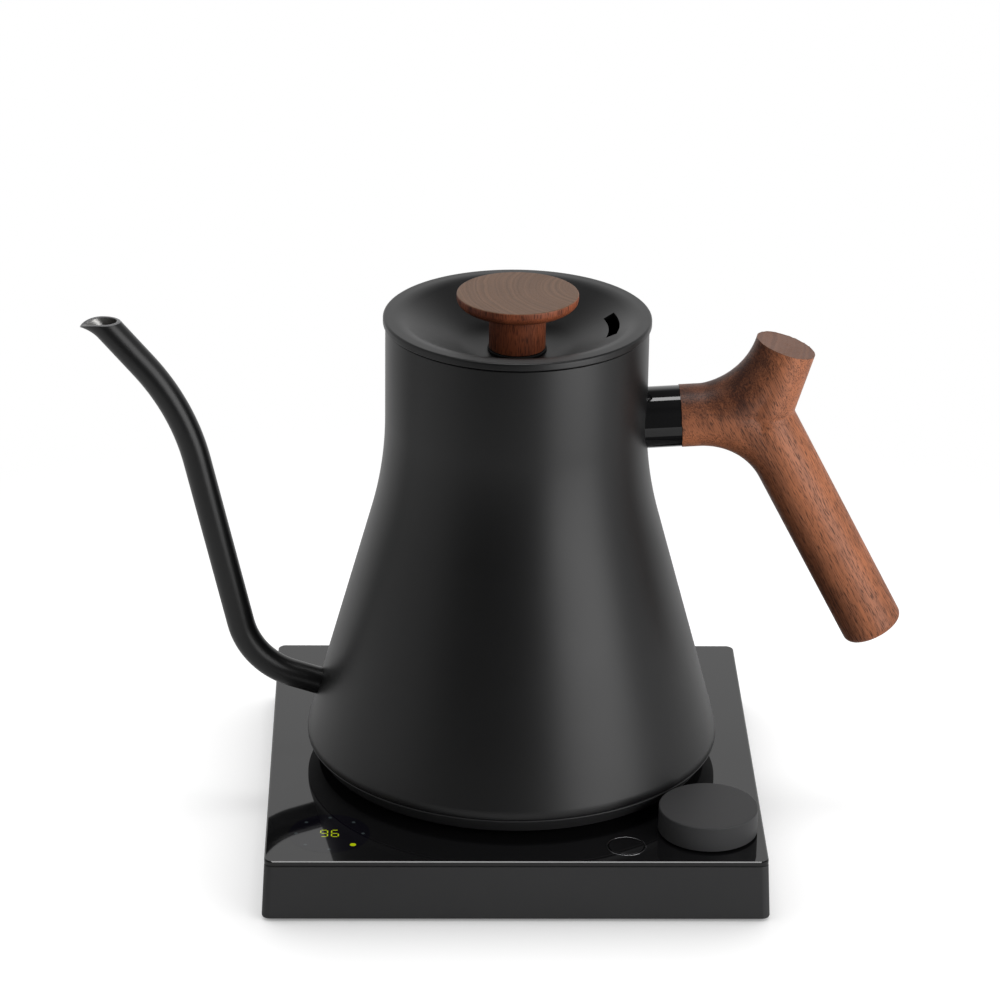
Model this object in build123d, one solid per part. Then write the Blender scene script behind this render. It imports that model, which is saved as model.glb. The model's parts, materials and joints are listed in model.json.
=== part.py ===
from build123d import *
import os
from math import asin, atan2, cos, pi, radians, sin, sqrt, tan

# Electric gooseneck kettle on a square heating base. Millimetres and degrees, +Z up, spout to -X,
# handle to +X, controls to -Y. The origin is on the kettle's axis, on the surface the foot stands on.

# Base housing and panel
BASE_TOP_SIDE = 170.0
BASE_FLARE = 3.0
BASE_CORNER = 4.0
HOUSING_HEIGHT = 19.6
HOUSING_WALL = 2.4
DECK_THICKNESS = 2.0
PANEL_THICKNESS = 1.8
PANEL_BEVEL = 0.5
BOTTOM_THICKNESS = 2.4
BOTTOM_FIT = 0.2
FOOT_PROUD = 0.8
FOOT_RECESS = 1.4
FOOT_INSET = 15.0
FOOT_WIDTH = 8.0
POST_INSET = 6.7
POST_SPREAD = 30.0
POST_RADIUS = 4.0
CASE_SCREW_RADIUS = 1.5
CASE_SCREW_LENGTH = 9.0
CASE_HEAD_RADIUS = 2.8
CASE_HEAD_HEIGHT = 1.3
CASE_HEAD_SINK = 1.5

# Clearances
RUN_GAP = 0.3
SHAFT_GAP = 0.15
SEAT_GAP = 0.1

# Controls on the panel
DIAL_BEARING = -43.4
DIAL_CLEARANCE = 1.35
DIAL_RADIUS = 16.95
DIAL_HEIGHT = 7.7
DIAL_LIFT = 1.0
DIAL_EDGE = 0.6
DIAL_POCKET_RADIUS = 9.0
DIAL_POCKET_DEPTH = 3.4
DIAL_TRAVEL = 0.6
SHAFT_RADIUS = 3.0
SHAFT_CROWN = 1.3
ENCODER_SIDE = 13.0
ENCODER_HEIGHT = 6.6
ENCODER_WALL = 1.2
BUSH_RADIUS = 4.5
BUSH_PROUD = 2.2
NUT_RADIUS = 6.4
NUT_SIDES = 6
NUT_HEIGHT = 1.6
ROTOR_RADIUS = 4.6
ROTOR_HEIGHT = 2.6
BUTTON_BEARING = -63.1
BUTTON_CLEARANCE = 4.4
BUTTON_RADIUS = 6.0
BUTTON_PROUD = 0.2
BUTTON_FLANGE = 1.2
BUTTON_FLANGE_THICKNESS = 1.4
BUTTON_TRAVEL = 0.8
BEZEL_WIDTH = 0.5
BEZEL_PROUD = 0.1
SWITCH_SIDE = 6.0
SWITCH_HEIGHT = 3.5
PLUNGER_RADIUS = 1.7
PLUNGER_HEIGHT = 0.8
DOME_WALL = 1.0
DISPLAY_SIDE_INSET = 21.7
DISPLAY_FRONT_INSET = 20.3
DISPLAY_SIDE = 26.0

# Boards and power parts inside the base
CONTROL_BOARD_MARGIN = 10.0
CONTROL_BOARD_DEPTH = 36.0
CONTROL_BOARD_INSET = 24.0
POWER_BOARD_MARGIN = 30.0
POWER_BOARD_DEPTH = 34.0
POWER_BOARD_INSET = 31.0
BOARD_THICKNESS = 1.6
BOARD_HEIGHT = 3.2
STANDOFF_RADIUS = 2.6
BOARD_SCREW_RADIUS = 1.2
BOARD_SCREW_LENGTH = 4.0
BOARD_HEAD_RADIUS = 2.2
BOARD_HEAD_HEIGHT = 1.2
BOARD_SCREW_INSET = 4.0
BOARD_FRONT_SPREAD = 15.0
RELAY_SIZE = (19.0, 15.0, 9.5)
RELAY_GAP = 1.5
TRANSFORMER_CORE = (26.0, 18.0, 6.0)
TRANSFORMER_COIL = (16.0, 22.0, 9.6)
TRANSFORMER_GAP = 7.0
TERMINAL_SIZE = (24.0, 10.0, 8.5)
CAPACITOR_RADIUS = 4.0
CAPACITOR_HEIGHT = 9.6
CAPACITOR_INSET = 8.0
WIRE_RADIUS = 1.3
WIRE_PITCH = 7.0
GLAND_RADIUS = 6.4
GLAND_NECK_RADIUS = 4.6
GLAND_BORE_RADIUS = 3.2
GLAND_FLANGE = 1.6
GLAND_TAIL = 3.0
GLAND_Z = 10.5

# Round power socket on the base and its mate under the kettle
SOCKET_RADIUS = 17.5
SOCKET_HEIGHT = 8.4
SOCKET_FLANGE_RADIUS = 25.0
SOCKET_FLANGE = 2.0
SOCKET_BODY_RADIUS = 20.0
SOCKET_BODY_DEPTH = 7.0
SOCKET_GROOVE_IN = 9.0
SOCKET_GROOVE_OUT = 12.0
SOCKET_PIN_HOLE = 4.0
SOCKET_PIN_RADIUS = 2.0
SOCKET_PIN_SHORT = 1.4
SOCKET_RING_WALL = 0.7
COUPLER_WALL = 4.0
COUPLER_FLANGE = 3.6
COUPLER_FLANGE_THICKNESS = 2.0
COUPLER_TOP = 3.0
COUPLER_RING_WALL = 0.8
MATE_GAP = 0.7

# Kettle shell, a thin steel body of revolution
NECK_RADIUS = 44.9
WIDEST_MARGIN = 12.9
WIDEST_HEIGHT = 9.9
CONE_ANGLE = 15.5
FLARE_RADIUS = 134.0
BULGE_RADIUS = 8.5
NECK_LENGTH = 33.63
SHELL_WALL = 0.8
SHELL_LIP = 0.8
RIM_ROUND = 0.3

# Kettle underside
GASKET_THICKNESS = 0.5
GASKET_WIDTH = 3.0
GASKET_INSET = 0.7
COVER_GAP = 2.8
COVER_TAPER = 3.7
COVER_WALL = 2.4
COVER_FLOOR = 2.0
COVER_FOOT_RADIUS = 50.0
COVER_FOOT_WIDTH = 4.0
HEATER_HEIGHT = 18.6
HEATER_THICKNESS = 1.2
SPREADER_RADIUS = 54.0
SPREADER_THICKNESS = 1.6
ELEMENT_RING_RADIUS = 44.0
ELEMENT_RADIUS = 3.2
ELEMENT_SWEEP = 312.0
LEAD_RADIUS = 1.0
LEAD_STUB = 4.0
LEAD_BEND = 2.5
PROBE_RADIUS = 2.0
PROBE_X = 30.0
PROBE_PROUD = 9.0
PROBE_FLANGE_RADIUS = 4.5
PROBE_FLANGE = 1.2
CUTOUT_RADIUS = 8.0
CUTOUT_HEIGHT = 2.4
CUTOUT_X = -32.0
STUD_RING_RADIUS = 32.0
STUD_RADIUS = 3.2
STUD_COUNT = 3
STUD_START = 90.0
COVER_SCREW_RADIUS = 1.5
COVER_SCREW_LENGTH = 6.0
COVER_HEAD_RADIUS = 2.8
COVER_HEAD_HEIGHT = 1.1

# Gooseneck spout, a bent tube
SPOUT_DIAMETER = 9.6
SPOUT_WALL = 0.8
SPOUT_ROOT_HEIGHT = 26.4
SPOUT_ROOT_SLOPE = 17.8
SPOUT_STANDOFF = 19.7
SPOUT_RISE_LEAN = 13.05
SPOUT_LOW_BEND = 27.0
SPOUT_KNEE_HEIGHT = 129.9
SPOUT_UPPER_LEAN = 40.0
SPOUT_KNEE_BEND = 82.8
SPOUT_UPPER_RUN = 41.85
BEAK_BEND = 29.0
BEAK_TURN = 25.7
BEAK_RUN = 10.5
MOUTH_TILT = 6.7
MOUTH_DROP = 1.1

# Handle: steel bracket, black collar and a forked wooden grip
HANDLE_DROP = 33.6
COLLAR_LENGTH = 12.1
COLLAR_DIAMETER = 20.0
BRACKET_DIAMETER = 14.0
BRACKET_LENGTH = 6.0
BOLT_DIAMETER = 6.0
BOLT_TAIL = 20.0
INSERT_DIAMETER = 9.0
INSERT_DEPTH = 22.0
GRIP_DIAMETER = 21.5
GRIP_REACH = 27.5
GRIP_LEAN = 27.8
GRIP_LENGTH = 89.3
GRIP_BEND = 30.3
BRANCH_DIAMETER = 21.0
BRANCH_REACH = 26.7
BRANCH_LEAN = 17.0
BRANCH_LENGTH = 27.4
BRANCH_BEND = 34.5
CROTCH_GRIP_SET = 4.0
CROTCH_BRANCH_SET = 6.3
CROTCH_INSET = 0.2
HANDLE_EDGE = 0.6

# Lid and its wooden knob
LID_OVERHANG = 0.8
LID_EDGE_HEIGHT = 3.1
LID_EDGE_ROUND = 0.8
LID_SHEET = 1.0
LID_BROW_BEND = 7.0
LID_BOWL_DEPTH = 12.3
LID_BOWL_BEND = 20.0
LID_BOWL_MARGIN = 0.4
SLOT_IN = 31.0
SLOT_OUT = 34.7
SLOT_ARC = 34.0
SKIRT_WALL = 1.5
SKIRT_GAP = 1.4
SKIRT_DEPTH = 14.0
SEAL_HEIGHT = 3.0
SEAL_DROP = 4.0
SEAL_BITE = 0.8
LINER_THICKNESS = 1.0
VENT_COUNT = 12
VENT_RADIUS = 1.5
VENT_RING_RADIUS = 30.0
WASHER_RADIUS = 10.6
WASHER_THICKNESS = 0.9
KNOB_RADIUS = 20.75
KNOB_HEIGHT = 19.5
KNOB_RIM = 2.4
KNOB_BELLY = 3.0
KNOB_EDGE = 0.5
STEM_RADIUS = 9.9
LID_SCREW_RADIUS = 2.0
LID_SCREW_LENGTH = 13.0
LID_SCREW_HEAD = 3.6
LID_SCREW_HEAD_HEIGHT = 2.2

# Heights and places worked out from the sizes above
plate_low = FOOT_PROUD
plate_top = plate_low + BOTTOM_THICKNESS
seam = plate_low + HOUSING_HEIGHT
deck_low = seam - DECK_THICKNESS
panel = seam + PANEL_THICKNESS
board_low = plate_top + BOARD_HEIGHT
board_top = board_low + BOARD_THICKNESS
base_low_side = BASE_TOP_SIDE + 2 * HOUSING_HEIGHT * tan(radians(BASE_FLARE))
cavity_side = BASE_TOP_SIDE - 2 * HOUSING_WALL
base_edge = BASE_TOP_SIDE / 2
post_place = base_edge - POST_INSET
foot_out = base_edge - FOOT_INSET
foot_in = foot_out - FOOT_WIDTH
widest_radius = base_edge - WIDEST_MARGIN
cover_low_radius = widest_radius - COVER_TAPER
socket_top = panel + SOCKET_HEIGHT
flange_low = deck_low - SOCKET_FLANGE
socket_low = flange_low - SOCKET_BODY_DEPTH

dial_reach = widest_radius + DIAL_CLEARANCE + DIAL_RADIUS
dial_x = dial_reach * cos(radians(DIAL_BEARING))
dial_y = dial_reach * sin(radians(DIAL_BEARING))
button_reach = widest_radius + BUTTON_CLEARANCE + BUTTON_RADIUS
button_x = button_reach * cos(radians(BUTTON_BEARING))
button_y = button_reach * sin(radians(BUTTON_BEARING))
display_x = DISPLAY_SIDE_INSET - base_edge
display_y = DISPLAY_FRONT_INSET - base_edge
control_board_length = BASE_TOP_SIDE - 2 * CONTROL_BOARD_MARGIN
control_board_y = CONTROL_BOARD_INSET - base_edge
power_board_length = BASE_TOP_SIDE - 2 * POWER_BOARD_MARGIN
power_board_y = base_edge - POWER_BOARD_INSET
capacitor_x = CAPACITOR_INSET - power_board_length / 2
relay_x = capacitor_x + CAPACITOR_RADIUS + RELAY_GAP + RELAY_SIZE[0] / 2
transformer_x = TERMINAL_SIZE[0] / 2 + TRANSFORMER_GAP + TRANSFORMER_CORE[0] / 2

widest = panel + WIDEST_HEIGHT
shell_low = widest - SHELL_LIP
cover_top = shell_low - GASKET_THICKNESS
cover_low = panel + COVER_GAP
cover_floor = cover_low + COVER_FLOOR
heater_low = panel + HEATER_HEIGHT
heater_top = heater_low + HEATER_THICKNESS
spreader_low = heater_low - SPREADER_THICKNESS
coupler_in = SOCKET_RADIUS + MATE_GAP
coupler_out = coupler_in + COUPLER_WALL
coupler_roof = socket_top + MATE_GAP
coupler_top = coupler_roof + COUPLER_TOP
groove_mid = (SOCKET_GROOVE_IN + SOCKET_GROOVE_OUT - SOCKET_RING_WALL) / 2

cone = radians(CONE_ANGLE)
cone_radius = widest_radius - BULGE_RADIUS * (1 - cos(cone))
cone_low = widest + BULGE_RADIUS * sin(cone)
flare_foot = NECK_RADIUS + FLARE_RADIUS * (1 - cos(cone))
neck = cone_low + (cone_radius - flare_foot) / tan(cone) + FLARE_RADIUS * sin(cone)
rim = neck + NECK_LENGTH

arm = rim - HANDLE_DROP
collar_end = NECK_RADIUS + COLLAR_LENGTH
lid_top = rim + LID_EDGE_HEIGHT
bowl_floor = lid_top - LID_BOWL_DEPTH
knob_foot = bowl_floor + WASHER_THICKNESS
lid_radius = NECK_RADIUS + LID_OVERHANG
skirt_out = NECK_RADIUS - SHELL_WALL - SKIRT_GAP
skirt_in = skirt_out - SKIRT_WALL
skirt_low = rim - SKIRT_DEPTH


def turned(*points):
    """Solid of revolution about the kettle's axis from (radius, height) corners."""
    outline = Polyline(*[(radius, 0, height) for radius, height in points], close=True)
    return revolve(make_face(outline), Axis.Z)


def disc(radius, low, high, x=0.0, y=0.0):
    """Upright round bar between two heights."""
    bar = Cylinder(radius, high - low, align=(Align.CENTER, Align.CENTER, Align.MIN))
    return Pos(x, y, low) * bar


def ring(inner, outer, low, high, x=0.0, y=0.0):
    """Upright tube between two heights."""
    return disc(outer, low, high, x, y) - disc(inner, low, high, x, y)


def block(length, depth, low, high, x=0.0, y=0.0):
    """Upright box between two heights."""
    box = Box(length, depth, high - low, align=(Align.CENTER, Align.CENTER, Align.MIN))
    return Pos(x, y, low) * box


def rounded_block(side, corner, low, high, x=0.0, y=0.0):
    """Upright square block with rounded corners."""
    return Pos(x, y, low) * extrude(RectangleRounded(side, side, corner), high - low)


def bar_between(radius, start, end):
    """Round bar from one point to another."""
    run = Vector(*end) - Vector(*start)
    bar = Cylinder(radius, run.length, align=(Align.CENTER, Align.CENTER, Align.MIN))
    return Plane(origin=start, z_dir=run) * bar


def swept(path, radius):
    """Round bar along a path."""
    start = Plane(origin=path @ 0, z_dir=path % 0)
    return sweep(start * Circle(radius), path=path)


def corners(x_place, y_place):
    """The four corner places of a rectangle."""
    return [(x, y) for x in (-x_place, x_place) for y in (-y_place, y_place)]


def around(radius, count, start=0.0):
    """Evenly spaced places on a circle round the axis."""
    angles = [radians(start + 360 * step / count) for step in range(count)]
    return [(radius * cos(angle), radius * sin(angle)) for angle in angles]


def group(solids):
    """Like pieces kept as separate solids in one node."""
    return Compound(children=solids)


def screw(x, y, head_low, head_radius, head_height, radius, length):
    """Round-headed screw that goes in from below."""
    shank_low = head_low + head_height
    return disc(head_radius, head_low, shank_low, x, y) + disc(radius, shank_low, shank_low + length, x, y)


def board_places():
    """Screw places of both circuit boards."""
    places = []
    boards = (
        (control_board_length, CONTROL_BOARD_DEPTH, control_board_y),
        (power_board_length, POWER_BOARD_DEPTH, power_board_y),
    )
    for length, depth, y in boards:
        rear_x = length / 2 - BOARD_SCREW_INSET
        y_place = depth / 2 - BOARD_SCREW_INSET
        places += [(x, y + y_place) for x in (-rear_x, rear_x)]
        places += [(x, y - y_place) for x in (-BOARD_FRONT_SPREAD, BOARD_FRONT_SPREAD)]
    return places


def wall_radius(height, inset=0.0):
    """Radius of the shell's outer surface, or of a surface set in from it, at a height."""
    foot_height = cone_low - inset * sin(cone)
    foot_radius = cone_radius - inset * cos(cone)
    flare = FLARE_RADIUS + inset
    if height >= neck:
        return NECK_RADIUS - inset
    if height >= neck - flare * sin(cone):
        return NECK_RADIUS + FLARE_RADIUS - sqrt(flare**2 - (neck - height) ** 2)
    if height >= foot_height:
        return foot_radius - (height - foot_height) * tan(cone)
    return widest_radius - BULGE_RADIUS + sqrt((BULGE_RADIUS - inset) ** 2 - (height - widest) ** 2)


def kettle_form(inset, low, high):
    """Solid inside the shell's outer surface, or inside a surface set in from it."""
    bulge = BULGE_RADIUS - inset
    flare = FLARE_RADIUS + inset
    centre_radius = widest_radius - BULGE_RADIUS
    flare_centre = NECK_RADIUS + FLARE_RADIUS
    start = asin((low - widest) / bulge)

    def bulge_point(angle):
        return (centre_radius + bulge * cos(angle), 0, widest + bulge * sin(angle))

    def flare_point(angle):
        return (flare_centre - flare * cos(angle), 0, neck - flare * sin(angle))

    top = (NECK_RADIUS - inset, 0, high)
    edges = [
        Line((0, 0, low), bulge_point(start)),
        ThreePointArc(bulge_point(start), bulge_point((start + cone) / 2), bulge_point(cone)),
        Line(bulge_point(cone), flare_point(cone)),
        ThreePointArc(flare_point(cone), flare_point(cone / 2), flare_point(0)),
        Line(flare_point(0), top),
        Line(top, (0, 0, high)),
        Line((0, 0, high), (0, 0, low)),
    ]
    return revolve(make_face(edges), Axis.Z)


def base_housing():
    """Moulded case, open below, with a deck under the panel and screw posts in its corners."""
    footprint = RectangleRounded(base_low_side, base_low_side, BASE_CORNER)
    outside = extrude(footprint, HOUSING_HEIGHT, taper=BASE_FLARE)
    case = Pos(0, 0, plate_low) * outside
    case -= rounded_block(cavity_side, BASE_CORNER, plate_low, deck_low)
    for x, y in corners(post_place, POST_SPREAD):
        case += ring(CASE_SCREW_RADIUS + SEAT_GAP, POST_RADIUS, plate_top, deck_low, x, y)
    case -= disc(SOCKET_RADIUS + RUN_GAP, deck_low, seam)
    case -= disc(BUSH_RADIUS + SEAT_GAP, deck_low, seam, dial_x, dial_y)
    case -= disc(BUTTON_RADIUS + RUN_GAP, deck_low, seam, button_x, button_y)
    window = DISPLAY_SIDE + 2 * SEAT_GAP
    case -= block(window, window, deck_low, seam, display_x, display_y)
    gland_start = (0, cavity_side / 2 - HOUSING_WALL, GLAND_Z)
    case -= bar_between(GLAND_NECK_RADIUS + SEAT_GAP, gland_start, (0, base_low_side / 2, GLAND_Z))
    return case


def top_panel():
    """Glossy square panel with the holes for socket, dial and button."""
    plate = rounded_block(BASE_TOP_SIDE, BASE_CORNER, seam, panel)
    plate = chamfer(plate.edges().group_by(Axis.Z)[-1], PANEL_BEVEL)
    plate -= disc(SOCKET_RADIUS + RUN_GAP, seam, panel)
    plate -= disc(BUSH_RADIUS + SEAT_GAP, seam, panel, dial_x, dial_y)
    plate -= disc(BUTTON_RADIUS + RUN_GAP + BEZEL_WIDTH, seam, panel, button_x, button_y)
    return plate


def bottom_plate():
    """Plate that closes the case, with a groove for the foot, sunk screw holes and board standoffs."""
    plate = rounded_block(cavity_side - 2 * BOTTOM_FIT, BASE_CORNER, plate_low, plate_top)
    plate -= ring(foot_in - SEAT_GAP, foot_out + SEAT_GAP, plate_low, plate_low + FOOT_RECESS)
    for x, y in corners(post_place, POST_SPREAD):
        plate -= disc(CASE_HEAD_RADIUS + SEAT_GAP, plate_low, plate_low + CASE_HEAD_SINK, x, y)
        plate -= disc(CASE_SCREW_RADIUS + SEAT_GAP, plate_low, plate_top, x, y)
    for x, y in board_places():
        plate += ring(BOARD_SCREW_RADIUS + SEAT_GAP, STANDOFF_RADIUS, plate_top, board_low, x, y)
    return plate


def rubber_foot():
    """Anti-slip rubber ring pressed into the plate's groove, which the base stands on."""
    return ring(foot_in, foot_out, 0, plate_low + FOOT_RECESS)


def base_screws():
    """Screws that hold the bottom plate to the case."""
    head_low = plate_low + CASE_HEAD_SINK - CASE_HEAD_HEIGHT
    size = (CASE_HEAD_RADIUS, CASE_HEAD_HEIGHT, CASE_SCREW_RADIUS, CASE_SCREW_LENGTH)
    return group([screw(x, y, head_low, *size) for x, y in corners(post_place, POST_SPREAD)])


def circuit_board(length, depth, y):
    """Bare board with its screw holes."""
    board = block(length, depth, board_low, board_top, 0, y)
    for hole_x, hole_y in board_places():
        board -= disc(BOARD_SCREW_RADIUS + SEAT_GAP, board_low, board_top, hole_x, hole_y)
    return board


def board_screws():
    """Small screws, heads up, through both boards into the standoffs."""
    screws = []
    for x, y in board_places():
        shank = disc(BOARD_SCREW_RADIUS, board_top - BOARD_SCREW_LENGTH, board_top, x, y)
        screws.append(shank + disc(BOARD_HEAD_RADIUS, board_top, board_top + BOARD_HEAD_HEIGHT, x, y))
    return group(screws)


def power_socket():
    """Round socket that stands through the deck and panel, screwed up under the deck."""
    body = disc(SOCKET_RADIUS, flange_low, socket_top)
    body += disc(SOCKET_FLANGE_RADIUS, flange_low, deck_low)
    body += disc(SOCKET_BODY_RADIUS, socket_low, flange_low)
    body -= ring(SOCKET_GROOVE_IN, SOCKET_GROOVE_OUT, flange_low, socket_top)
    body -= disc(SOCKET_PIN_HOLE, flange_low, socket_top)
    return chamfer(body.edges().group_by(Axis.Z)[-1].sort_by(SortBy.RADIUS)[-1], PANEL_BEVEL)


def socket_contacts():
    """Centre pin and spring ring that carry the power."""
    pin = disc(SOCKET_PIN_RADIUS, flange_low, socket_top - SOCKET_PIN_SHORT)
    outer = SOCKET_GROOVE_OUT - SEAT_GAP
    collar = ring(outer - SOCKET_RING_WALL, outer, flange_low, panel)
    return group([pin, collar])


def socket_wires():
    """Straight leads from the terminal block to the socket."""
    start = power_board_y - TERMINAL_SIZE[1] / 2 - SEAT_GAP
    height = socket_low + SOCKET_BODY_DEPTH / 2
    wires = []
    for step in (-1, 0, 1):
        x = step * WIRE_PITCH
        end = sqrt(SOCKET_BODY_RADIUS**2 - (abs(x) - WIRE_RADIUS) ** 2) + SEAT_GAP
        wires.append(bar_between(WIRE_RADIUS, (x, end, height), (x, start, height)))
    return group(wires)


def cord_gland():
    """Plain bush in the back wall that the mains lead passes through."""
    inside = cavity_side / 2
    outside = base_low_side / 2
    tail = (0, inside - GLAND_TAIL, GLAND_Z)
    wall_face = (0, outside, GLAND_Z)
    front = (0, outside + GLAND_FLANGE, GLAND_Z)
    bush = bar_between(GLAND_NECK_RADIUS, tail, wall_face) + bar_between(GLAND_RADIUS, wall_face, front)
    return bush - bar_between(GLAND_BORE_RADIUS, tail, front)


def transformer():
    """Low-voltage transformer: a core with its wound bobbin."""
    core_length, core_depth, core_height = TRANSFORMER_CORE
    coil_length, coil_depth, coil_height = TRANSFORMER_COIL
    core_low = board_top + (coil_height - core_height) / 2
    coil_top = board_top + coil_height
    core = block(core_length, core_depth, core_low, core_low + core_height, transformer_x, power_board_y)
    return core + block(coil_length, coil_depth, board_top, coil_top, transformer_x, power_board_y)


def filter_capacitor():
    """Upright round capacitor beside the relay."""
    top = board_top + CAPACITOR_HEIGHT
    return disc(CAPACITOR_RADIUS, board_top, top, capacitor_x, power_board_y)


def board_block(size, x, y):
    """Boxed part that stands on a circuit board."""
    length, depth, height = size
    return block(length, depth, board_top, board_top + height, x, y)


def encoder_body():
    """Rotary switch body with the threaded bush that passes through deck and panel."""
    roof = board_top + ENCODER_HEIGHT
    bush_top = panel + BUSH_PROUD
    body = block(ENCODER_SIDE, ENCODER_SIDE, board_top, roof, dial_x, dial_y)
    body += disc(BUSH_RADIUS, roof, bush_top, dial_x, dial_y)
    pocket_low = board_top + ENCODER_WALL
    body -= disc(ROTOR_RADIUS + RUN_GAP, pocket_low, roof - ENCODER_WALL, dial_x, dial_y)
    return body - disc(SHAFT_RADIUS + SHAFT_GAP, roof - ENCODER_WALL, bush_top, dial_x, dial_y)


def encoder_nut():
    """Hexagon nut that clamps the bush to the panel."""
    nut = Pos(dial_x, dial_y, panel) * extrude(RegularPolygon(NUT_RADIUS, NUT_SIDES), NUT_HEIGHT)
    return nut - disc(BUSH_RADIUS + SEAT_GAP, panel, panel + NUT_HEIGHT, dial_x, dial_y)


rotor_top = board_top + ENCODER_HEIGHT - ENCODER_WALL - RUN_GAP
rotor_low = rotor_top - ROTOR_HEIGHT
dial_low = panel + DIAL_LIFT
dial_top = dial_low + DIAL_HEIGHT
shaft_top = dial_top - SHAFT_CROWN
shaft_low = rotor_low + DIAL_TRAVEL


def encoder_rotor():
    """Wiper ring that turns with the shaft inside the encoder."""
    return ring(SHAFT_RADIUS + SHAFT_GAP, ROTOR_RADIUS, rotor_low, rotor_top, dial_x, dial_y)


def dial_dome():
    """Snap dome under the shaft that pushes the dial back up."""
    floor = board_top + ENCODER_WALL
    height = shaft_low - floor
    dome = Cone(ROTOR_RADIUS, SHAFT_RADIUS, height, align=(Align.CENTER, Align.CENTER, Align.MIN))
    below_rotor = disc(ROTOR_RADIUS, floor, rotor_low - SHAFT_GAP, dial_x, dial_y)
    return Pos(dial_x, dial_y, floor) * dome & below_rotor


def dial_shaft():
    """Steel shaft of the rotary switch."""
    return disc(SHAFT_RADIUS, shaft_low, shaft_top, dial_x, dial_y)


def dial_knob():
    """Low round knob, hollow below to clear the nut."""
    knob = disc(DIAL_RADIUS, dial_low, dial_top, dial_x, dial_y)
    knob = chamfer(knob.edges().group_by(Axis.Z)[-1], DIAL_EDGE)
    knob -= disc(DIAL_POCKET_RADIUS, dial_low, dial_low + DIAL_POCKET_DEPTH, dial_x, dial_y)
    return knob - disc(SHAFT_RADIUS, dial_low, shaft_top, dial_x, dial_y)


flange_top = deck_low - RUN_GAP
flange_bottom = flange_top - BUTTON_FLANGE_THICKNESS
plunger_top = board_top + SWITCH_HEIGHT + PLUNGER_HEIGHT


def button_cap():
    """Round push button held under the deck by its flange, with a short stem over the switch."""
    cap = disc(BUTTON_RADIUS, flange_bottom, panel + BUTTON_PROUD, button_x, button_y)
    cap = chamfer(cap.edges().group_by(Axis.Z)[-1], BUTTON_PROUD)
    cap += disc(BUTTON_RADIUS + BUTTON_FLANGE, flange_bottom, flange_top, button_x, button_y)
    stem_low = plunger_top + BUTTON_TRAVEL + SHAFT_GAP
    return cap + disc(PLUNGER_RADIUS, stem_low, flange_bottom, button_x, button_y)


def button_bezel():
    """Thin bright ring set into the panel round the button."""
    inner = BUTTON_RADIUS + RUN_GAP
    return ring(inner, inner + BEZEL_WIDTH, seam, panel + BEZEL_PROUD, button_x, button_y)


def button_switch():
    """Small push switch with its plunger."""
    roof = board_top + SWITCH_HEIGHT
    body = block(SWITCH_SIDE, SWITCH_SIDE, board_top, roof, button_x, button_y)
    return body + disc(PLUNGER_RADIUS, roof, plunger_top, button_x, button_y)


def button_dome():
    """Soft silicone skirt that lifts the button."""
    foot = BUTTON_RADIUS + BUTTON_FLANGE
    height = flange_bottom - board_top
    base = (Align.CENTER, Align.CENTER, Align.MIN)
    dome = Cone(foot, foot - DOME_WALL, height, align=base)
    dome -= Cone(foot - DOME_WALL, foot - 2 * DOME_WALL, height, align=base)
    return Pos(button_x, button_y, board_top) * dome


def spout_path():
    """Spout centre line: out of the shell, up, over the knee and out at the beak."""
    slope = radians(SPOUT_ROOT_SLOPE)
    rise = radians(SPOUT_RISE_LEAN)
    upper = radians(SPOUT_UPPER_LEAN)
    beak = upper + radians(BEAK_TURN)
    root_z = panel + SPOUT_ROOT_HEIGHT
    root_x = -wall_radius(root_z)
    low_x = -(widest_radius + SPOUT_STANDOFF)
    low_z = root_z + (root_x - low_x) * tan(slope)
    inside_x = root_x + SPOUT_DIAMETER
    inside_z = root_z - SPOUT_DIAMETER * tan(slope)
    knee_z = panel + SPOUT_KNEE_HEIGHT
    knee_x = low_x - (knee_z - low_z) * tan(rise)
    beak_x = knee_x - SPOUT_UPPER_RUN * sin(upper)
    beak_z = knee_z + SPOUT_UPPER_RUN * cos(upper)
    end = (beak_x - BEAK_RUN * sin(beak), 0, beak_z + BEAK_RUN * cos(beak))
    points = [(inside_x, 0, inside_z), (low_x, 0, low_z), (knee_x, 0, knee_z), (beak_x, 0, beak_z), end]
    return points, FilletPolyline(*points, radius=[SPOUT_LOW_BEND, SPOUT_KNEE_BEND, BEAK_BEND])


def spout():
    """Bent tube welded into the shell, cut nearly level at the mouth so that the lip reaches out."""
    points, path = spout_path()
    tube = swept(path, SPOUT_DIAMETER / 2) - swept(path, SPOUT_DIAMETER / 2 - SPOUT_WALL)
    tube -= kettle_form(SHELL_WALL, shell_low, rim)
    mouth = (points[3][0], 0, points[3][2] - MOUTH_DROP)
    tilt = radians(MOUTH_TILT)
    reach = SPOUT_KNEE_BEND
    above = Box(reach, reach, reach, align=(Align.CENTER, Align.CENTER, Align.MIN))
    return tube - Plane(origin=mouth, z_dir=(-sin(tilt), 0, cos(tilt))) * above


def kettle_shell():
    """Drawn steel body with the hole that the spout is welded into."""
    shell = kettle_form(0, shell_low, rim) - kettle_form(SHELL_WALL, shell_low - SHELL_WALL, rim + SHELL_WALL)
    rim_edges = shell.edges().filter_by(GeomType.CIRCLE).group_by(Axis.Z)[-1]
    shell = fillet(rim_edges, RIM_ROUND)
    points, _ = spout_path()
    return shell - bar_between(SPOUT_DIAMETER / 2 + SEAT_GAP / 2, points[0], points[1])


def heater_plate():
    """Steel floor of the water chamber, with the probe's hole."""
    radius = wall_radius(heater_top, SHELL_WALL) - SEAT_GAP
    plate = disc(radius, heater_low, heater_top)
    return plate - disc(PROBE_RADIUS + SEAT_GAP, heater_low, heater_top, PROBE_X)


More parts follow.
